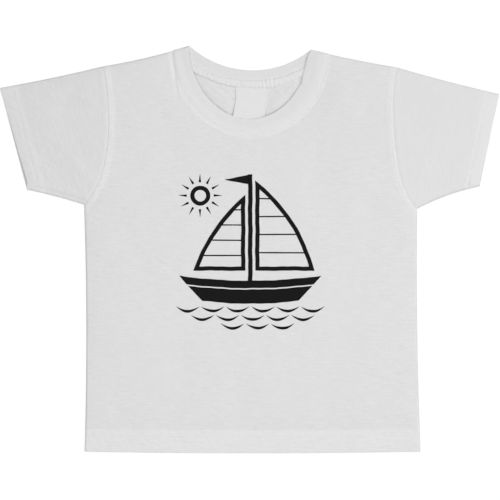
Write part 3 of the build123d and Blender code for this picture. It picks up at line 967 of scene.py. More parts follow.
@dataclass
class Sleeve:
    """One sleeve: a flattened tube, folded along its top and sewn under the arm, with a turned-in hem."""

    side: Side
    drape: Drape
    up: tuple[Pair, ...] = ((6, 0.9), (96, 1.9), (6, 0.9))
    along: tuple[Pair, ...] = ((6, 0.9), (56, 2.0), (18, 0.85))
    hem_rows: int = 21
    seam_dip: float = 0.3
    tuck: float = 1.0
    stitch_dip: float = 0.24
    hem_raise: float = 0.25
    ripple: float = 0.08
    ripple_length: float = 8.0
    draw_reach: float = 30.0
    cloth_apart: float = 500.0

    def outward(self) -> Array:
        """Direction out of the sleeve, at right angles to the cuff."""
        way = self.side.at("cuff_top") - self.side.at("cuff_low")
        return np.array([way[1], -way[0]]) * self.side.turn / np.linalg.norm(way)

    def front(self, points: Array) -> Array:
        """Height of the upper layer, seams and stitches included.

        Args:
            points: plan points.

        Returns:
            Heights of the middle of the cloth.
        """
        arm, cuff = distance(points, self.side.armhole()), distance(points, self.side.cuff())
        past_seam = distance(points, self.side.underarm()) - self.side.seam_roll
        in_hem = 1 - step(cuff - CUFF_HEM_DEPTH, -0.6, 0.6)
        ripple = np.sin(points @ np.array([0.5, 1.0]) * 2 * np.pi / self.ripple_length) * step(cuff, 1, 5)
        height = -self.seam_dip * bump(arm, 0, SEAM_WIDTH) + 0.15 * bump(arm, 3.0, 2.0)
        height += in_hem * (self.hem_raise + self.ripple * ripple)
        height -= self.stitch_dip * sum(bump(cuff, row, SEAM_WIDTH) for row in CUFF_STITCHES)
        height -= 0.35 * bump(past_seam, 0, 0.7) * (1 - 0.5 * in_hem)
        height += 0.25 * step(past_seam, 0.5, 1.5) * (1 - step(past_seam, 5, 7))
        return self.drape.front(points, height)

    def back(self, points: Array) -> Array:
        """Height of the lower layer, whose outer face lies on the surface.

        Args:
            points: plan points.

        Returns:
            Heights of the middle of the cloth.
        """
        arm, cuff = distance(points, self.side.armhole()), distance(points, self.side.cuff())
        stitches = sum(bump(cuff, row, SEAM_WIDTH) for row in CUFF_STITCHES)
        return self.drape.back(points, 0.4 * bump(arm, 0, SEAM_WIDTH) + 0.15 * stitches)

    def drawn(self, points: Array, share: Array) -> Array:
        """The upper layer drawn back from the cuff near its lower corner, where the lower one shows.

        Each point moves in by the gap, times a fall from the cuff, times (1 - share) to the 1.3.

        Args:
            points: plan points.
            share: their shares of the way up from the underarm seam to the fold.

        Returns:
            The moved points.
        """
        near = np.exp(-distance(points, self.side.cuff()) / self.draw_reach)
        clear = step(distance(points, self.side.underarm()), 0, 9)
        move = self.side.cuff_gap * near * clear * (1 - share) ** 1.3
        return points - move[..., None] * self.outward()

    def solid(self) -> Solid:
        """The sleeve's closed mesh: a grid round the tube, from the underarm seam, and out to the cuff.

        Returns:
            Its closed mesh, with the cuff's hem turned in.
        """
        side = self.side
        up, along = spaced(*self.up, start_round=True, end_round=True), spaced(*self.along)
        arm, cuff = at_shares(side.armhole(), up), at_shares(side.cuff(), up)
        under, top = at_shares(side.underarm(), along), at_shares(side.sleeve_top(), along)
        grid = between(up, along, arm, cuff, under, top)
        width = sum(length for length, _ in self.up)
        count, start = len(up), int(np.searchsorted(up, side.seam_roll / width))
        order = [*range(start, count), *range(count - 2, -1, -1), *range(1, start)]
        on_top = np.array([True] * (count - start) + [False] * (count - 1) + [True] * (start - 1))[:, None]
        out = self.outward()
        plan, share = np.concatenate([grid[:, :1] - self.tuck * out, grid], 1)[order], up[order][:, None]
        moved = np.where(on_top[..., None], self.drawn(plan, share), plan)
        points = lifted(moved, np.where(on_top, self.front(moved), self.back(moved)))
        points[:, 0, 2] = points[:, 1, 2] + self.tuck / 2 * np.where(on_top[:, 0], -1, 1)
        closed = np.concatenate([plan, plan[:1]])
        height = closed @ np.array([-out[1], out[0]])
        round_tube = np.cumsum(np.abs(np.diff(height, axis=0, prepend=height[:1])), axis=0)
        cloth = np.stack([round_tube + self.cloth_apart * side.turn, closed @ out], axis=-1)
        double = 1 - step(distance(plan, side.cuff()) - CUFF_HEM_DEPTH, -0.5, 0.5)
        sheet = Sheet(points, cloth, JERSEY, double, ring=True)
        outwards = np.sign((sheet.normals()[..., 2] * np.where(on_top, 1, -1)).mean())
        return sheet.turned_in(self.hem_rows, JERSEY + FOLD_GAP, outwards).solid()

    def build(self, finish: Material) -> None:
        """The sleeve.

        Args:
            finish: that of the jersey.
        """
        name = f"{self.side.name}_sleeve"
        sleeve = make(name + "_cloth", [self.solid()], [name], finish)


@dataclass
class Neckband:
    """The ring of rib, folded double along its free edge, with ribs across it.

    Its front half lies on top and its back half below, and it turns over at the shoulders.
    """

    drape: Drape
    step_size: float = 0.42
    outs: tuple[float, ...] = (1.06, 1.0, 0.94, 0.86, 0.76, 0.65, 0.53, 0.41, 0.3, 0.2, 0.11, 0.04, 0.0)
    rib_pitch: float = 1.5
    rib_height: float = 0.05
    crown: float = 0.17
    groove: float = 0.14
    sink: float = 0.26
    tuck: float = 6.0
    rest: float = 0.7

    def plan(self) -> tuple[Array, int]:
        """The band in plan.

        Returns:
            Points indexed round the ring, front and then back, and from the seam to the free edge,
            and the number of those round the front.
        """
        front, back = (int(lengths(edge(0.5))[-1] / self.step_size) for edge in (front_neck, back_neck))
        fronts = [at_shares(front_neck(out, 400), np.linspace(0, 1, front)) for out in self.outs]
        backs = [at_shares(back_neck(out, 300)[::-1], np.linspace(0, 1, back))[1:-1] for out in self.outs]
        return np.stack([np.concatenate(pair) for pair in zip(fronts, backs)], axis=1), front

    def solid(self) -> Solid:
        """The closed mesh of the band: two layers of rib, each thicker on its ribs.

        Returns:
            The mesh, folded along the free edge.
        """
        plan, front = self.plan()
        n, m = plan.shape[:2]
        across = np.array(self.outs)
        shown, hidden = np.minimum(across, 1), np.maximum(across - 1, 0)
        crown = self.crown * np.sin(np.pi * shown) ** 0.7 - self.groove * bump(across, 0.42, 0.16)
        top = self.drape.front(plan, crown - self.sink * bump(shown, 1, 0.09) - self.tuck * hidden)
        on_top = (np.arange(n) < front)[:, None]
        points = lifted(plan, np.where(on_top, top, self.drape.back(plan, 0.0, self.rest)))
        along = lengths(np.concatenate([plan[:, m // 2], plan[:1, m // 2]]))
        along *= self.rib_pitch * round(along[-1] / self.rib_pitch) / along[-1]
        cloth = np.stack(np.broadcast_arrays(along[:, None], across[None] * BAND_WIDTH), axis=-1)
        sheet = Sheet(points, cloth, RIB, ring=True)
        outwards = np.sign((sheet.normals()[..., 2] * np.where(on_top, 1, -1)).mean())
        outer = Sheet(points + RIB / 2 * outwards * sheet.normals(), cloth, RIB, ring=True)
        folded = outer.turned_in(m, RIB, outwards)
        rib = np.cos(folded.cloth[:-1, :, 0] * 2 * np.pi / self.rib_pitch)
        thickness = RIB + self.rib_height * rib
        return Sheet(folded.points, folded.cloth, thickness, np.ones(rib.shape), True).solid()

    def build(self, finish: Material) -> None:
        """The band."""
        band = make("neckband_rib", [self.solid()], ["neckband"], finish)


@dataclass
class NeckTape:
    """The tape over the back neck's seam, puckered by its two rows of stitches."""

    length: float = 150.0
    width: float = 7.5
    grid: tuple[int, int] = (420, 11)
    thickness: float = 0.4
    height: float = 1.42
    shares: Pair = (0.062, 0.93)
    pucker: float = 0.26
    rise: float = 1.5
    left_sink: float = 0.45
    curl: float = 1.4
    inset: float = 1.1

    def surface(self, along: Array, across: Array) -> Array:
        """Places on the middle of the tape.

        Its puckers are waves along it, stronger right of the label, with others that twist it. It
        lies lower along both edges and at its left end, and curls up at its right end.

        Args:
            along: shares from the left end to the right one.
            across: from -1 at the edge on the band to 1 at the edge on the label.

        Returns:
            Positions, indexed by along and then across.
        """
        shares = self.shares[0] + (self.shares[1] - self.shares[0]) * along
        line = at_shares(back_neck(1.0, 300), shares)
        way = np.gradient(line, axis=0)
        way /= np.linalg.norm(way, axis=1, keepdims=True)
        side = np.stack([way[:, 1], -way[:, 0]], 1)
        reach = along * self.length
        waver = 0.25 * np.sin(reach / 7.3) + 0.2 * np.sin(reach / 3.1 + 1)
        low = waver + 1.2 * bump(along, 0.63, 0.09) + 0.5 * bump(along, 0.9, 0.05)
        u, v = along[:, None], across[None]
        offset = v * self.width / 2 + (low * 0.5)[:, None] * (1 + v) - self.rise * np.sin(np.pi * u) ** 2
        points = line[:, None] + offset[..., None] * side[:, None]
        gathers = 0.55 + 1.1 * bump(u, 0.64, 0.07) + 0.5 * bump(u, 0.2, 0.1)
        waves = np.sin(reach * 2 * np.pi / 3.9 + 2 * np.sin(reach / 11))[:, None]
        twist = np.sin(reach * 2 * np.pi / 5.3 + 1.7 * np.sin(reach / 7))[:, None] * v
        height = self.height + self.pucker * gathers * (waves * (0.3 + 0.7 * v**2) + 0.7 * twist)
        height += 0.12 * (1 - v**2) - 0.2 * step(-v, 0.55, 1) - 0.22 * step(v, 0.2, 1)
        height += self.curl * np.clip((u - 0.955) / 0.045, 0, 1) ** 2
        height -= self.left_sink * (1 - step(u, 0, 0.12))
        return lifted(points, height)

    def rows(self) -> list[Array]:
        """The two rows of stitches, on the tape's upper face, as lines of places.

        Returns:
            A line for each edge.
        """
        along = np.linspace(0.015, 0.96, 500)
        lines = []
        for side in (-1, 1):
            across = np.array([side * (1 - 2 * self.inset / self.width)])
            lines.append(self.surface(along, across)[:, 0] + np.array([0, 0, self.thickness / 2 + 0.06]))
        return lines

    def build(self, finish: Material) -> None:
        """The tape.

        Args:
            finish: that of the tape.
        """
        along, across = np.linspace(0, 1, self.grid[0]), np.linspace(-1, 1, self.grid[1])
        cloth = np.broadcast_arrays(along[:, None] * self.length, across[None] * self.width / 2)
        middle, cloth = self.surface(along, across), np.stack(cloth, axis=-1)
        tape = Sheet(middle, cloth, self.thickness, np.ones(self.grid)).solid()
        make("neck_tape_strip", [tape], ["neck_tape"], finish)


@dataclass
class NeckLabel:
    """The bare woven label, folded double at its lower edge and caught under the tape."""

    corners: tuple[Pair, Pair, Pair, Pair] = ((-13.5, 166.6), (18.6, 163.9), (15.6, 133.8), (-16.3, 134.0))
    width: float = 32.0
    length: float = 31.0
    grid: tuple[int, int] = (60, 56)
    thickness: float = 0.2
    gap: float = 0.26
    height: float = 1.02
    fold_rise: float = 1.4
    fold_sag: float = 2.6
    left_bow: float = 1.1

    def surface(self, across: Array, down: Array) -> Array:
        """Places on the middle of the label's upper layer.

        It is the mix of its corners, bowed at the fold and at its left edge. It rises to the fourth
        power towards the fold, where its corners lift, and waves a little in between.

        Args:
            across: shares from its left edge to its right one.
            down: shares from its caught edge to its fold.

        Returns:
            Positions, indexed by across and then down.
        """
        tl, tr, br, bl = (np.array(corner) for corner in self.corners)
        u, v = across[:, None], down[None]
        plan = ((1 - u) * (1 - v))[..., None] * tl + (u * (1 - v))[..., None] * tr
        plan = plan + (u * v)[..., None] * br + ((1 - u) * v)[..., None] * bl
        plan[..., 0] += self.left_bow * np.sin(np.pi * v) * (1 - u)
        plan[..., 1] -= self.fold_sag * np.sin(np.pi * u) * v**3
        height = self.height + self.fold_rise * v**4
        height = height + 0.15 * bump(v, 0.8, 0.16) * (1 - u) ** 3 + 0.3 * bump(v, 0.75, 0.12) * u**4
        height += 0.08 * (1 + np.sin(7 * u + 4 * v)) * np.sin(np.pi * v)
        return lifted(plan, height)

    def build(self, finish: Material) -> None:
        """The label.

        Args:
            finish: that of the label.
        """
        across, down = (np.linspace(0, 1, count) for count in self.grid)
        from_fold = self.length - down[None] * self.length
        cloth = np.stack(np.broadcast_arrays(across[:, None] * self.width, from_fold), axis=-1)
        sheet = Sheet(self.surface(across, down), cloth, self.thickness)
        label = sheet.turned_in(len(down), self.gap, np.sign(sheet.normals()[..., 2].mean())).solid()
        piece = make("neck_label_cloth", [label], ["neck_label"], finish)


@dataclass
class Allowances:
    """The seam allowances inside the shirt: two layers of jersey, overlocked along their free edge."""

    body: Body
    thickness: float = 1.0
    width: float = 6.0
    edge: float = 0.6
    stitch_pitch: float = 2.4
    overlock: float = 0.22
    middle: Pair = (0.0, 60.0)

    def strip(self, seam: Array, free: Array, height: Callable[[Array], Array]) -> Solid:
        """A strip between a seam and its free edge.

        The overlock thread makes the last third of it swell by a small wave along it.

        Args:
            seam: the sewn edge in plan, from one end to the other.
            free: the free edge, point for point.
            height: height of the middle of the strip at plan points.

        Returns:
            The strip's closed mesh.
        """
        count = max(8, int(lengths(seam)[-1] / 1.1))
        shares, across = np.linspace(0, 1, count), np.linspace(0, 1, 8)
        a, b = at_shares(seam, shares), at_shares(free, shares)
        plan = a[:, None] + across[None, :, None] * (b - a)[:, None]
        along = lengths(a)
        wave = 0.5 + 0.5 * np.cos(along * 2 * np.pi / self.stitch_pitch)
        thick = self.thickness + self.overlock * wave[:, None] * step(across, 0.5, 0.7)[None]
        cloth = np.stack(np.broadcast_arrays(along[:, None], across[None] * self.width), axis=-1)
        return Sheet(lifted(plan, height(plan)), cloth, thick, np.ones(plan.shape[:2])).solid()

    def inward(self, line: Array, width: float, towards: Pair) -> Array:
        """A line moved sideways by width, to the side on which a point lies.

        Args:
            line: its points.
            width: how far.
            towards: the point.

        Returns:
            The moved points.
        """
        way = np.gradient(line, axis=0)
        way /= np.linalg.norm(way, axis=1, keepdims=True)
        side = np.stack([-way[:, 1], way[:, 0]], 1)
        sign = np.sign(((np.array(towards) - line) * side).sum(axis=1).mean())
        return line + sign * width * side

    @staticmethod
    def clear(line: Array, beside: Iterable[tuple[Array, float]]) -> Array:
        """The points of a line that are further from each curve beside it than the distance given."""
        return line[np.all([distance(line, curve) > least for curve, least in beside], axis=0)]

    def under_front(self, points: Array) -> Array:
        """Height of a strip just under the front."""
        return self.body.drape.front(points) - (JERSEY + self.thickness) / 2 - 0.15

    def on_back(self, points: Array) -> Array:
        """Height of a strip just on the back."""
        return self.body.drape.back(points) + (JERSEY + self.thickness) / 2 + 0.1

    def build(self, finish: Material) -> None:
        """All the strips. Each keeps clear of the curves beside it by the distances given.

        Args:
            finish: that of the jersey.
        """
        seam, free = front_neck(1.02)[4:-4], front_neck(1 + NECK_ALLOWANCE / BAND_WIDTH)[4:-4]
        neck = self.strip(seam, free, self.under_front)
        make("front_neck_seam_strip", [neck], ["front_neck_seam"], finish)
        for side in SIDES:
            arm, side_line, shoulder = side.armhole(), side.side_line(), side.shoulder_line()
            sewn = self.clear(arm, ((side_line, 5), (shoulder, 5)))
            free = self.inward(sewn, self.width, self.middle)
            heights = self.under_front, self.on_back
            strips = {"armhole_seam": [self.strip(sewn, free, height) for height in heights]}
            cuff_clear = CUFF_HEM_DEPTH + 2
            runs = {
                "side_seam": (side_line, self.middle, ((hem_line(), HEM_DEPTH + 2), (arm, 9))),
                "shoulder_seam": (shoulder, self.middle, ((back_neck(1.0), 7), (arm, 9))),
                "underarm_seam": (side.underarm(), side.cuff_top, ((side.cuff(), cuff_clear), (arm, 2))),
            }
            for seam_name, (line, towards, beside) in runs.items():
                sewn = self.clear(self.inward(line, self.edge, towards), beside)
                free = self.inward(sewn, self.width, towards)
                strips[seam_name] = [self.strip(sewn, free, self.on_back)]
            for seam_name, solids in strips.items():
                node = f"{side.name}_{seam_name}"
                make(node + "_strip", solids, [node], finish)


@dataclass
class Stitching:
    """Rows of machine stitches: short threads with rounded ends that sink into the cloth."""

    length: float = 2.35
    pitch: float = 2.9
    radius: float = 0.17
    side_length: float = 246.0
    on_hem: float = -0.06
    on_front: float = -0.02
    on_back: float = -0.1

    def row(self, places: Array, normals: Array) -> Solid:
        """Stitches along a line on the cloth.

        Each is four rings of six points about its axis. The outer rings are smaller and lie lower, so
        that the thread's ends dip into the cloth.

        Args:
            places: points along the line, in millimetres.
            normals: the cloth's normals there.

        Returns:
            The stitches as one mesh of closed shells.
        """
        reach = lengths(places)[-1]
        count = int(reach / self.pitch)
        middles = (np.arange(count) + 0.5) / count
        half = self.length / 2 / reach
        at, normal = at_shares(places, middles), self.between_ends(normals, middles)
        way = at_shares(places, middles + half) - at_shares(places, middles - half)
        way /= np.linalg.norm(way, axis=1, keepdims=True)
        aside = np.cross(way, normal)
        along = np.array([-0.5, -0.36, 0.36, 0.5]) * self.length
        size = np.array([0.45, 1.0, 1.0, 0.45]) * self.radius
        sink = np.array([-0.14, 0.0, 0.0, -0.14])
        turn = np.arange(6) * np.pi / 3
        ring = size[:, None] * np.cos(turn), size[:, None] * np.sin(turn) + sink[:, None]
        verts = at[:, None, None] + along[None, :, None, None] * way[:, None, None]
        verts = verts + ring[0][None, ..., None] * aside[:, None, None]
        verts += ring[1][None, ..., None] * normal[:, None, None]
        here = np.arange(6)
        after = (here + 1) % 6
        sides = [np.stack([here, here + 6, after + 6, after], 1) + 6 * k for k in range(3)]
        ends = np.array([[0, 1, 2, 3], [0, 3, 4, 5], [21, 20, 19, 18], [23, 22, 21, 18]])
        faces = np.concatenate([*sides, ends])
        every = (faces[None] + 24 * np.arange(count)[:, None, None]).reshape(-1, 4)
        flat = verts.reshape(-1, 3)
        return Solid(flat, every, flat[every][..., :2], np.zeros(len(flat))).outwards()

    @staticmethod
    def between_ends(values: Array, shares: Array) -> Array:
        """Values given along a line, read at shares of it."""
        marks = np.linspace(0, 1, len(values))
        return np.stack([np.interp(shares, marks, values[:, k]) for k in range(values.shape[1])], 1)

    def hem_rows(self, body: Body) -> list[Solid]:
        """Two rows round the hem.

        Args:
            body: the two panels.

        Returns:
            The rows.
        """
        rows = []
        for depth in HEM_STITCHES:
            ends = [at_shares(side.side_line(), np.array([depth / self.side_length]))[0] for side in SIDES]
            line = bowed(ends[0] + np.array([1.2, 0]), ends[1] - np.array([1.2, 0]), HEM_SAG, 500)
            rows.append(self.row(*faced(body.front, line, Layer.FRONT, self.on_hem)))
            rows.append(self.row(*faced(body.back, line, Layer.BACK, self.on_back)))
        return rows

    def cuff_rows(self, sleeve: Sleeve) -> list[Solid]:
        """Two rows round the cuff.

        Args:
            sleeve: the sleeve.

        Returns:
            The rows.
        """
        side, rows, shares = sleeve.side, [], np.linspace(0, 1, 200)
        for depth in CUFF_STITCHES:
            edges = side.underarm(), side.sleeve_top()
            low, top = (at_shares(edge, np.array([1 - depth / lengths(edge)[-1]]))[0] for edge in edges)
            line = straight(low, top, len(shares))
            front = sleeve.drawn(line, shares)
            rows.append(self.row(*faced(sleeve.front, front[3:-3], Layer.FRONT, self.on_front)))
            rows.append(self.row(*faced(sleeve.back, line[3:-3], Layer.BACK, self.on_back)))
        return rows

    def neck_rows(self, body: Body) -> list[Solid]:
        """One row round the front neck, outside the band, and one under the back neck.

        Args:
            body: the two panels.

        Returns:
            The rows.
        """
        front = front_neck(1 + NECK_ALLOWANCE / BAND_WIDTH, 500)[6:-6]
        back = back_neck(1 + NECK_STITCHES_BELOW / BAND_WIDTH, 300)[3:-3]
        return [
            self.row(*faced(body.front, front, Layer.FRONT, self.on_front)),
            self.row(*faced(body.back, back, Layer.BACK, self.on_back)),
        ]

    def tape_rows(self, tape: NeckTape) -> list[Solid]:
        """A row along each edge of the tape."""
        up = np.array([[0.0, 0.0, 1.0]])
        return [self.row(line, np.repeat(up, len(line), 0)) for line in tape.rows()]

    def build(self, body: Body, sleeves: Iterable[Sleeve], tape: NeckTape, finish: Material) -> None:
        """All the rows, one object for each place.

        Args:
            body: the two panels.
            sleeves: both sleeves.
            tape: the tape.
            finish: that of the jersey.
        """
        make("hem_stitches", self.hem_rows(body), [], finish)
        make("neck_stitches", self.neck_rows(body), [], finish)
        make("tape_stitches", self.tape_rows(tape), [], finish)
        for sleeve in sleeves:
            make(f"{sleeve.side.name}_cuff_stitches", self.cuff_rows(sleeve), [], finish)


@dataclass
class ChestPrint:
    """The print: a sailing boat under a sun, over waves, as films of ink laid on the front.

    Positions are from the point where the mast meets the deck.
    """

    body: Body
    foot: Pair = (1.0, -25.65)
    film: float = 0.16
    stroke: float = 4.2
    fine: float = 1.3
    deck: Pair = (71.0, 5.0)
    keel: Pair = (48.0, 3.0)
    hull_depth: float = 25.0
    plank_fall: float = 7.5
    mast: Pair = (4.4, 106.0)
    pennant: Pair = (25.0, 10.0)
    tip_share: float = 0.04
    clearance: float = 5.0
    mainsail: Triple = (90.0, 59.0, 9.0)
    jib: Triple = (76.0, 52.0, 6.0)
    sail_seams: tuple[float, ...] = (0.2, 0.4, 0.6, 0.8)
    sun_place: Pair = (-50.0, 80.0)
    sun_radius: float = 10.0
    ray: Triple = (13.5, 8.0, 2.4)
    rays: int = 12
    wave: Triple = (23.0, 6.0, 2.8)
    wave_pitch: float = 25.0
    wave_fall: float = 8.5
    wave_rows: tuple[tuple[int, float], ...] = ((6, 0.0), (5, 0.1), (3, 0.3))

    def drawn(self, points: Array) -> Array:
        """Points moved by less than 0.3 mm each way, as a hand-cut screen wanders.

        Args:
            points: plan points.

        Returns:
            The moved points.
        """
        x, y = points[..., 0], points[..., 1]
        sideways, upwards = np.sin(y / 5.7 + 0.4 * np.sin(x / 9)), np.sin(x / 6.3 + 1.1 + 0.5 * np.sin(y / 8))
        return points + 0.18 * np.stack([sideways, upwards], -1) + 0.1 * np.sin(points[..., ::-1] / 2.3 + 0.7)

    def patch(self, first: Array, second: Array, ring: bool = False) -> Solid:
        """A film between two lines, point for point, that follows the cloth.

        Args:
            first: one edge.
            second: the other edge.
            ring: True if both close on themselves.

        Returns:
            The film's closed mesh.
        """
        wide = np.linalg.norm(first - second, axis=1).max()
        share = np.linspace(0, 1, max(3, int(wide / 1.8) + 2))[None, :, None]
        plan = self.drawn(first[:, None] + share * (second - first)[:, None]) + np.array(self.foot)
        points, _ = faced(self.body.front, plan, Layer.FRONT, self.film / 2 - 0.06)
        cloth = np.concatenate([plan, plan[:1]]) if ring else plan
        return Sheet(points, cloth, self.film, ring=ring).solid()

    def sagging(self, half: float, level: float, sag: float, low: float = 1.0) -> Array:
        """A line from left to right that sags by sag at its middle, over a share low of its width."""
        x = np.linspace(-1, 1, max(12, int(half / 0.9))) * low
        return np.stack([half * x, level - sag * (1 - x**2)], 1)

    def hull(self) -> list[Solid]:
        """The hull as two films, with a bare line between them along its planks.

        Returns:
            The films.
        """
        (deck, sag), (keel, keel_sag) = self.deck, self.keel
        slope = (deck - keel) / self.hull_depth

        def plank(fall: float) -> Array:
            """A line that far below the deck, as wide as the hull is there."""
            reach = 1 - slope * (fall + 0.8) / deck
            return self.sagging(deck, -fall, sag, reach)

        bottom = at_shares(self.sagging(keel, -self.hull_depth, keel_sag), np.linspace(0, 1, len(plank(0))))
        return [
            self.patch(self.sagging(deck, 0, sag), plank(self.plank_fall)),
            self.patch(plank(self.plank_fall + self.fine), bottom),
        ]

    def rig(self) -> list[Solid]:
        """The mast and the pennant at its head.

        Returns:
            The films.
        """
        half, top, foot = self.mast[0] / 2, self.mast[1] - self.deck[1], -self.deck[1]
        mast = [straight(np.array([x, foot]), np.array([x, top]), 60) for x in (-half, half)]
        length, height = self.pennant
        middle, flag = top - height / 2, []
        for y in (top, top - height):
            tip = np.array([-length, middle]) + np.array([0, (y - middle) * self.tip_share])
            flag.append(straight(np.array([0.0, y]), tip, 24))
        return [self.patch(*mast), self.patch(*flag)]

    def sail(self, turn: int, size: Triple) -> list[Solid]:
        """One sail: an outline whose free edge is an arc, with fine seams across.

        The inner edge of the outline is the outer one moved in by the stroke. The seams run from it to
        the free edge's inner arc.

        Args:
            turn: 1 on the right of the mast and -1 on the left.
            size: hoist, foot and belly.

        Returns:
            The films.
        """
        hoist, foot, belly = size
        tack = np.array([turn, 1.0]) * self.clearance
        head, clew = tack + np.array([0, hoist]), tack + np.array([turn * foot, 0])
        out = np.array([turn * hoist, foot]) / np.hypot(hoist, foot)
        arc = arc_through(head, (head + clew) / 2 + out * belly, clew, 70)
        half = np.hypot(hoist, foot) / 2
        radius = (half**2 + belly**2) / (2 * belly)
        centre = (head + clew) / 2 + out * (belly - radius)
        x, y, inner = tack[0] + turn * self.stroke, tack[1] + self.stroke, radius - self.stroke

        def at_height(level: float) -> float:
            """Where the inner arc is at a height."""
            return centre[0] + turn * np.sqrt(inner**2 - (level - centre[1]) ** 2)

        top = np.array([x, centre[1] + np.sqrt(inner**2 - (x - centre[0]) ** 2)])
        corner = np.array([at_height(y), y])
        to_arc = arc - centre
        middle = centre + inner * to_arc / np.linalg.norm(to_arc, axis=1, keepdims=True)
        middle = arc_through(top, middle[35], corner, 70)
        inner_tack = np.array([x, y])
        outside = joined(straight(tack, head, 50), arc, straight(clew, tack, 36))[:-1]
        inside = joined(straight(inner_tack, top, 50), middle, straight(corner, inner_tack, 36))[:-1]
        films = [self.patch(outside, inside, ring=True)]
        for share in self.sail_seams:
            level, lines, lap = tack[1] + share * hoist, [], turn * 0.4
            for y in (level - self.fine / 2, level + self.fine / 2):
                lines.append(straight(np.array([x - lap, y]), np.array([at_height(y) + lap, y])))
            films.append(self.patch(*lines))
        return films

    def sun(self) -> list[Solid]:
        """The sun: a ring with pointed rays round it.

        Returns:
            The films.
        """
        turn = np.linspace(0, 2 * np.pi, 64, endpoint=False)[:, None]
        circle = np.concatenate([np.cos(turn), np.sin(turn)], 1)
        place, hole = np.array(self.sun_place), self.sun_radius - self.stroke
        films = [self.patch(place + self.sun_radius * circle, place + hole * circle, ring=True)]
        foot, length, width = self.ray
        for k in range(self.rays):
            way = np.array([np.cos(2 * np.pi * k / self.rays), np.sin(2 * np.pi * k / self.rays)])
            side = np.array([-way[1], way[0]]) * width / 2
            start, end = place + foot * way, place + (foot + length) * way
            films.append(self.patch(*(straight(start + s * side, end + 0.1 * s * side, 8) for s in (-1, 1))))
        return films

    def waves(self) -> list[Solid]:
        """Rows of strokes that are thick in the middle and pointed at the ends.

        Returns:
            The films.
        """
        width, sag, stroke = self.wave
        top = -self.hull_depth - self.keel[1] - stroke
        upper = self.sagging(width / 2, 0.1, sag - stroke + 0.1)
        lower = self.sagging(width / 2, -0.1, sag - 0.1)
        films = []
        for level, (count, shift) in enumerate(self.wave_rows):
            for k in range(count):
                across = (k - (count - 1) / 2 + shift) * self.wave_pitch
                place = np.array([across, top - level * self.wave_fall])
                films.append(self.patch(upper + place, lower + place))
        return films

    def build(self, finish: Material) -> None:
        """The whole print.

        Args:
            finish: that of the ink.
        """
        sails = [*self.sail(1, self.mainsail), *self.sail(-1, self.jib)]
        films = [*self.hull(), *self.rig(), *sails, *self.sun(), *self.waves()]
        make("chest_print_film", films, ["chest_print"], finish)


# Finishes.


class Value:
    """A number from a socket, on which arithmetic adds Math nodes."""

    def __init__(self, shader: "Shader", socket: Socket) -> None:
        """Wraps a socket of a shader."""
        self.shader, self.socket = shader, socket

    def maths(self, operation: str, *others: "Value | float", first: bool = True) -> "Value":
        """Adds a Math node.

        Args:
            operation: the node's operation.
            others: the other operands.
            first: False if this value is the second operand.

        Returns:
            The node's value.
        """
        operands = (self, *others) if first else (*others, self)
        node = self.shader.node("ShaderNodeMath", {"operation": operation}, dict(enumerate(operands)))
        return Value(self.shader, node.outputs[0])

    def __add__(self, other: "Value | float") -> "Value":
        """This plus other."""
        return self.maths("ADD", other)

    def __sub__(self, other: "Value | float") -> "Value":
        """This minus other."""
        return self.maths("SUBTRACT", other)

    def __mul__(self, other: "Value | float") -> "Value":
        """This times other."""
        return self.maths("MULTIPLY", other)

    def __truediv__(self, other: "Value | float") -> "Value":
        """This over other."""
        return self.maths("DIVIDE", other)

    def __rsub__(self, other: float) -> "Value":
        """Other minus this."""
        return self.maths("SUBTRACT", other, first=False)

    __radd__, __rmul__ = __add__, __mul__

    def sine(self) -> "Value":
        """Its sine."""
        return self.maths("SINE")

    def absolute(self) -> "Value":
        """Its size without its sign."""
        return self.maths("ABSOLUTE")

    def fraction(self) -> "Value":
        """What is left of it past a whole number."""
        return self.maths("FRACT")

    def power(self, exponent: float) -> "Value":
        """It to an exponent."""
        return self.maths("POWER", exponent)

    def between(self, low: float, high: float) -> "Value":
        """A smooth step from 0 at low to 1 at high.

        Args:
            low: where it starts.
            high: where it ends.

        Returns:
            The step.
        """
        node = self.shader.node(
            "ShaderNodeMapRange",
            {"interpolation_type": "SMOOTHSTEP"},
            {"Value": self, "From Min": low, "From Max": high, "To Min": 0.0, "To Max": 1.0},
        )
        return Value(self.shader, node.outputs["Result"])


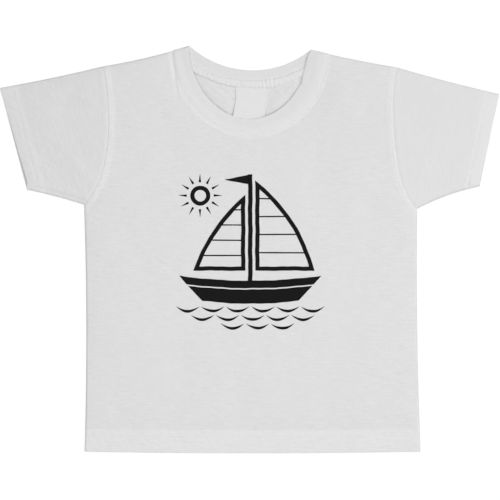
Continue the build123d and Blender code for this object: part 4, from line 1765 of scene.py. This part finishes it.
class Shader:
    """The nodes of one material."""

    def __init__(self, name: str) -> None:
        """Makes an empty material.

        Args:
            name: name of the material.
        """
        self.material = bpy.data.materials.new(name)
        self.material.use_nodes = True
        self.tree = self.material.node_tree
        self.tree.nodes.clear()

    def node(self, kind: str, settings: Mapping[str, Any], inputs: Mapping[str | int, Any]) -> bpy.types.Node:
        """Adds a node.

        Args:
            kind: its type.
            settings: its own properties, which are set first.
            inputs: values or links of its sockets, by name or number.

        Returns:
            The node.
        """
        node = self.tree.nodes.new(kind)
        for name, value in settings.items():
            setattr(node, name, value)
        for name, value in inputs.items():
            socket = node.inputs[name]
            if isinstance(value, Value):
                value = value.socket
            if isinstance(value, Socket):
                self.tree.links.new(value, socket)
            else:
                socket.default_value = value
        return node

    def cloth(self, scale: Pair = (1.0, 1.0), turn: float = 0.0) -> Socket:
        """The place on the flat cloth, in millimetres, over a scale along each way.

        Args:
            scale: millimetres for 1, each way.
            turn: turn of the axes, in radians.

        Returns:
            The vector.
        """
        uv = self.node("ShaderNodeUVMap", {"uv_map": "cloth"}, {})
        sizes = (1 / MM / scale[0], 1 / MM / scale[1], 1.0)
        inputs = {"Vector": uv.outputs[0], "Rotation": (0, 0, turn), "Scale": sizes}
        return self.node("ShaderNodeMapping", {}, inputs).outputs[0]

    def axes(self) -> tuple[Value, Value]:
        """The place on the flat cloth, in millimetres, as two numbers."""
        parts = self.node("ShaderNodeSeparateXYZ", {}, {0: self.cloth()})
        return Value(self, parts.outputs[0]), Value(self, parts.outputs[1])

    def noise(self, scale: Pair, detail: float = 2.0, roughness: float = 0.5, turn: float = 0.0) -> Value:
        """Noise from -1 to 1, mostly.

        Args:
            scale: length of a grain each way, in millimetres.
            detail: octaves.
            roughness: share of the finer octaves.
            turn: turn of the axes, in radians.

        Returns:
            The noise.
        """
        node = self.node(
            "ShaderNodeTexNoise",
            {"noise_dimensions": "2D"},
            {"Vector": self.cloth(scale, turn), "Scale": 1.0, "Detail": detail, "Roughness": roughness},
        )
        return (Value(self, node.outputs[0]) - 0.5) * 2.0

    def tinted(self, colour: Triple, light: Value) -> Socket:
        """A colour times a number that changes over the surface, by a Mix node from black.

        Args:
            colour: the colour.
            light: the number.

        Returns:
            The colour's socket.
        """
        mix = self.node(
            "ShaderNodeMix",
            {"data_type": "RGBA", "clamp_factor": False},
            {0: light, 6: (0.0, 0.0, 0.0, 1.0), 7: (*colour, 1.0)},
        )
        return mix.outputs[2]

    def bump(self, height: Value, depth: float, strength: float = 1.0, under: Socket | None = None) -> Socket:
        """A bumped normal.

        Args:
            height: what it is bumped by.
            depth: millimetres for a height of 1.
            strength: how strongly.
            under: another normal that it lies on.

        Returns:
            The normal's socket.
        """
        inputs: dict[str | int, Any] = {"Height": height, "Distance": depth * MM, "Strength": strength}
        if under is not None:
            inputs["Normal"] = under
        return self.node("ShaderNodeBump", {}, inputs).outputs[0]

    def surface(self, colour: Any, roughness: Any, normal: Any, **plain: float) -> Material:
        """Ends the material in a Principled shader.

        Args:
            colour: value or link of Base Color.
            roughness: value or link of Roughness.
            normal: link of Normal.
            plain: constant values of other sockets, with _ for a space.

        Returns:
            The material.
        """
        inputs = {"Base Color": colour, "Roughness": roughness, "Normal": normal}
        inputs |= {name.replace("_", " "): value for name, value in plain.items()}
        shader = self.node("ShaderNodeBsdfPrincipled", {}, inputs)
        self.node("ShaderNodeOutputMaterial", {}, {"Surface": shader.outputs[0]})
        return self.material


COTTON = {"Specular_IOR_Level": 0.25, "Sheen_Weight": 0.08, "Sheen_Roughness": 0.5}

# The pitches of the jersey's knit, across its wales and along them, in millimetres.
THREADS = (0.82, 0.66)


def grey(value: float) -> Triple:
    """A colour without a hue."""
    return value, value, value


@dataclass(frozen=True)
class Jersey:
    """White cotton jersey: fine wales of stitches, streaky yarn, and a soft crumpled surface.

    It is a little lighter where another layer lies behind it.
    """

    name: str = "white_jersey"
    colour: Triple = grey(0.766)
    wale: float = THREADS[0]
    course: float = THREADS[1]
    streak: float = 0.048
    mottle: float = 0.014
    shade: float = 0.012
    lift: float = 0.048
    knit_depth: float = 0.07
    crumple_depth: float = 0.32

    def material(self) -> Material:
        """The finish as nodes.

        Returns:
            The material.
        """
        shader = Shader(self.name)
        x, y = shader.axes()
        column = ((x / self.wale).fraction() - 0.5).absolute() * 2.0
        leg = ((y / self.course + column * 0.55) * (2 * np.pi)).sine() * 0.35
        knit = leg + (1.0 - column.power(2.0)) * 0.65
        crowd = shader.noise((70.0, 40.0), 1.0) * 0.8 + 1.0
        streak = shader.noise((13.0, 1.5), 2.0, 0.6) * crowd
        slub = shader.noise((7.0, 0.7), 1.0).between(0.35, 0.75)
        mottle = shader.noise((11.0, 9.0), 3.0, 0.55)
        double = shader.node("ShaderNodeAttribute", {"attribute_name": "double"}, {})
        behind = Value(shader, double.outputs["Fac"])
        light = 1.0 + streak * self.streak + mottle * self.mottle - slub * self.shade
        light = light + behind * self.lift + knit * self.shade
        crumple = shader.noise((8.0, 5.0), 2.0, 0.5, 0.3) * 0.6 + shader.noise((3.4, 2.6), 1.0) * 0.22
        soft = shader.bump(crumple, self.crumple_depth, 1.0)
        fine = shader.bump(knit + streak * 0.4, self.knit_depth, 0.8, soft)
        rough = 0.9 + mottle * 0.03
        return shader.surface(shader.tinted(self.colour, light), rough, fine, **COTTON)


@dataclass(frozen=True)
class Rib:
    """The rib of the neckband: painted shade between its ribs, a painted highlight on its outer part, and
    stitches up each.
    """

    colour: Triple = grey(0.778)
    pitch: float = 1.5
    course: float = 0.75
    shade: float = 0.02
    depth: float = 0.05

    def material(self) -> Material:
        """The finish as nodes.

        Returns:
            The material.
        """
        shader = Shader("white_rib")
        x, y = shader.axes()
        rib = (x * (2 * np.pi / self.pitch) + np.pi / 2).sine()
        leg = ((y / self.course + rib.absolute() * 0.4) * (2 * np.pi)).sine()
        mottle = shader.noise((9.0, 5.0), 3.0, 0.6)
        grain = shader.noise((2.2, 1.4), 2.0)
        # From 6 to 10 mm out from its free edge onwards the band is painted 2.5 % lighter: a painted
        # highlight for the light that its flatter outer part catches.
        outer = y.between(6.0, 10.0)
        light = 0.99 + rib * self.shade * 0.5 + mottle * 0.025 + leg * 0.01 + grain * 0.02 + outer * 0.025
        fine = shader.bump(leg * 0.5 + rib * 0.5, self.depth, 0.7)
        return shader.surface(shader.tinted(self.colour, light), 0.9 + mottle * 0.03, fine, **COTTON)


@dataclass(frozen=True)
class Woven:
    """A plain weave of two sets of threads, for the tape and the label."""

    name: str
    colour: Triple
    thread: float
    turn: float = 0.0
    depth: float = 0.06
    roughness: float = 0.85
    border: float = 0.0
    middle: Pair = (16.0, 15.0)
    halves: Pair = (16.0, 15.2)

    def material(self) -> Material:
        """The finish as nodes. A border is a sunk line that far inside the edges of the label, with painted
        shade in it and a painted highlight along the edges.

        Returns:
            The material.
        """
        shader = Shader(self.name)
        place = shader.cloth((self.thread, self.thread), self.turn)
        parts = shader.node("ShaderNodeSeparateXYZ", {}, {0: place})
        x, y = (Value(shader, parts.outputs[k]) for k in range(2))
        weave = (x * np.pi).sine() * (y * np.pi).sine()
        slub = shader.noise((6.0, 0.8), 2.0, 0.5, self.turn)
        cloud = shader.noise((7.0, 6.0), 2.0)
        light = 1.0 + weave * 0.012 + slub * 0.014 + cloud * 0.016
        height = weave + slub * 0.5
        if self.border:
            across, down = shader.axes()
            ends = (across - self.middle[0]).absolute(), (down - self.middle[1]).absolute()
            lines = [(end - (half - self.border)).absolute() for end, half in zip(ends, self.halves)]
            line = lines[0].maths("MINIMUM", lines[1]).between(0.55, 0.15)
            edge = ends[0].between(15.0, 15.4).maths("MAXIMUM", ends[1].between(14.2, 14.6))
            # The label's edges are painted 3.5 % lighter, a painted highlight on them, and the sunk line 3 %
            # darker, painted shade in its groove.
            light = light + edge * 0.035 - line * 0.03
            height = height - line * 2.0
        normal = shader.bump(height, self.depth, 0.8)
        colour = shader.tinted(self.colour, light)
        return shader.surface(colour, self.roughness, normal, Specular_IOR_Level=0.3)


@dataclass(frozen=True)
class Ink:
    """Black screen ink: matt, thin, with the knit showing through as fine grain."""

    colour: Triple = (0.0058, 0.0056, 0.0062)
    grain: float = 0.35

    def material(self) -> Material:
        """The finish as nodes.

        Returns:
            The material.
        """
        shader = Shader("black_ink")
        x, y = shader.axes()
        knit = (x * (2 * np.pi / THREADS[0])).sine() * (y * (2 * np.pi / THREADS[1])).sine()
        cloud = shader.noise((5.0, 4.0), 3.0, 0.6)
        speck = shader.noise((0.9, 0.7), 1.0).between(0.55, 0.9)
        light = 1.0 + cloud * self.grain + speck * 1.6 + knit * 0.12
        rough = 0.72 + cloud * 0.06
        normal = shader.bump(knit + cloud, 0.05, 0.7)
        return shader.surface(shader.tinted(self.colour, light), rough, normal, Specular_IOR_Level=0.12)


@dataclass(frozen=True)
class Floor:
    """The pale surface that the shirt lies on. The camera sees it almost white, and it keeps a shadow."""

    size: float = 6.0
    cells: int = 8
    top: float = -0.0001
    colour: Triple = grey(0.86)
    share: float = 0.86
    glow: float = 1.06

    def material(self) -> Material:
        """The finish as nodes: a mix of plain white and a matt surface for what the camera sees.

        Returns:
            The material.
        """
        shader = Shader("pale_floor")
        path = shader.node("ShaderNodeLightPath", {}, {})
        kinds = "Camera", "Glossy", "Transmission"
        rays = [Value(shader, path.outputs[f"Is {kind} Ray"]) for kind in kinds]
        seen = rays[0].maths("MAXIMUM", rays[1]).maths("MAXIMUM", rays[2])
        grain = shader.node("ShaderNodeTexNoise", {}, {"Scale": 900.0, "Detail": 2.0})
        normal = shader.bump(Value(shader, grain.outputs[0]), 0.02, 0.3)
        colour = (*self.colour, 1.0)
        looks = {"Base Color": colour, "Roughness": 0.95, "Specular IOR Level": 0.1, "Normal": normal}
        matt = shader.node("ShaderNodeBsdfPrincipled", {}, looks)
        white = shader.node("ShaderNodeEmission", {}, {"Color": (1.0, 1.0, 1.0, 1.0), "Strength": self.glow})
        parts = {0: seen * self.share, 1: matt.outputs[0], 2: white.outputs[0]}
        mixed = shader.node("ShaderNodeMixShader", {}, parts)
        shader.node("ShaderNodeOutputMaterial", {}, {"Surface": mixed.outputs[0]})
        return shader.material

    def build(self) -> None:
        """The floor: a grid of faces, just under the shirt."""
        row = self.cells + 1
        marks = np.linspace(-self.size / 2, self.size / 2, row)
        xx, yy = np.meshgrid(marks, marks, indexing="ij")
        verts = np.stack([xx.ravel(), yy.ravel(), np.full(xx.size, self.top)], 1)
        first = np.arange(row * row).reshape(row, row)[:-1, :-1].ravel()
        faces = np.stack([first, first + row, first + row + 1, first + 1], 1)
        mesh = bpy.data.meshes.new("floor")
        mesh.from_pydata(verts.tolist(), [], faces.tolist())
        mesh.materials.append(self.material())
        floor = bpy.data.objects.new("floor", mesh)
        bpy.context.scene.collection.objects.link(floor)


# The studio.


@dataclass(frozen=True)
class Lamp:
    """A square soft lamp that faces a point near the shirt."""

    name: str
    place: Triple
    size: float
    share: float
    target: Triple = (0.0, 0.0, 0.0)

    def build(self) -> None:
        """Makes the lamp.

        Its power is the share times pi squared times the squared distance, over the cosine of its
        angle from straight above, so that a white matt surface at the target shows the share.
        """
        way = np.array(self.place) - np.array(self.target)
        reach = np.linalg.norm(way)
        light = bpy.data.lights.new(self.name, "AREA")
        light.shape, light.size = "SQUARE", self.size
        light.energy = float(self.share * np.pi**2 * reach**3 / way[2])
        lamp = bpy.data.objects.new(self.name, light)
        lamp.location = self.place
        pitch, turn = np.arccos(way[2] / reach), np.arctan2(way[1], way[0]) + np.pi / 2
        lamp.rotation_euler = (float(pitch), 0.0, float(turn))
        bpy.context.scene.collection.objects.link(lamp)


@dataclass(frozen=True)
class Studio:
    """Camera, lamps, world and floor."""

    height: float = 2.5
    view: float = 0.5
    centre: Pair = (0.00075, 0.0)
    sensor: float = 36.0
    world: float = 0.435
    lamps: tuple[Lamp, ...] = (
        Lamp("key", (1.3, 0.4, 1.35), 1.8, 0.335),
        Lamp("fill", (-0.15, -0.15, 0.95), 0.8, 0.34),
    )

    def build(self) -> None:
        """Sets up all of it. The lens is the sensor's width times the distance over the width seen."""
        camera = bpy.data.cameras.new("camera")
        camera.type, camera.sensor_width = "PERSP", self.sensor
        camera.lens = self.sensor * (self.height - 0.002) / self.view
        camera.clip_end = 20.0
        eye = bpy.data.objects.new("camera", camera)
        eye.location = (*self.centre, self.height)
        bpy.context.scene.collection.objects.link(eye)
        bpy.context.scene.camera = eye
        world = bpy.data.worlds.new("studio")
        world.use_nodes = True
        world.node_tree.nodes["Background"].inputs["Color"].default_value = (1.0, 1.0, 1.0, 1.0)
        world.node_tree.nodes["Background"].inputs["Strength"].default_value = self.world
        bpy.context.scene.world = world
        for lamp in self.lamps:
            lamp.build()
        Floor().build()
        bpy.context.scene.view_settings.view_transform = "Standard"


def main() -> None:
    """Builds the studio and the shirt."""
    logging.basicConfig(level=logging.INFO, format="%(message)s")
    Studio().build()
    jersey, rib, ink = Jersey().material(), Rib().material(), Ink().material()
    # The left sleeve's jersey is a darker copy of the body's, grey 0.754 against 0.766: painted shade for the
    # left side, which gets less light.
    sleeve_jersey = Jersey("white_jersey_painted_shade_left_sleeve", grey(0.754), streak=0.028, lift=0.038).material()
    smooth = {"streak": 0.015, "lift": 0.03, "knit_depth": 0.05, "crumple_depth": 0.2}
    smooth_jersey = Jersey("smooth_sleeve_jersey", grey(0.762), **smooth).material()
    tape_finish = Woven("white_tape", grey(0.795), thread=0.7, turn=0.7854).material()
    label = Woven("white_label", grey(0.81), thread=0.45, depth=0.05, roughness=0.8, border=1.6)
    label_finish = label.material()
    drape = Drape()
    body = Body(drape)
    body.build(jersey)
    sleeves = [Sleeve(side, drape) for side in SIDES]
    for sleeve, finish in zip(sleeves, (sleeve_jersey, smooth_jersey)):
        sleeve.build(finish)
    Neckband(drape).build(rib)
    tape = NeckTape()
    tape.build(tape_finish)
    NeckLabel().build(label_finish)
    Allowances(body).build(jersey)
    Stitching().build(body, sleeves, tape, jersey)
    ChestPrint(body).build(ink)


if __name__ == "__main__":
    main()
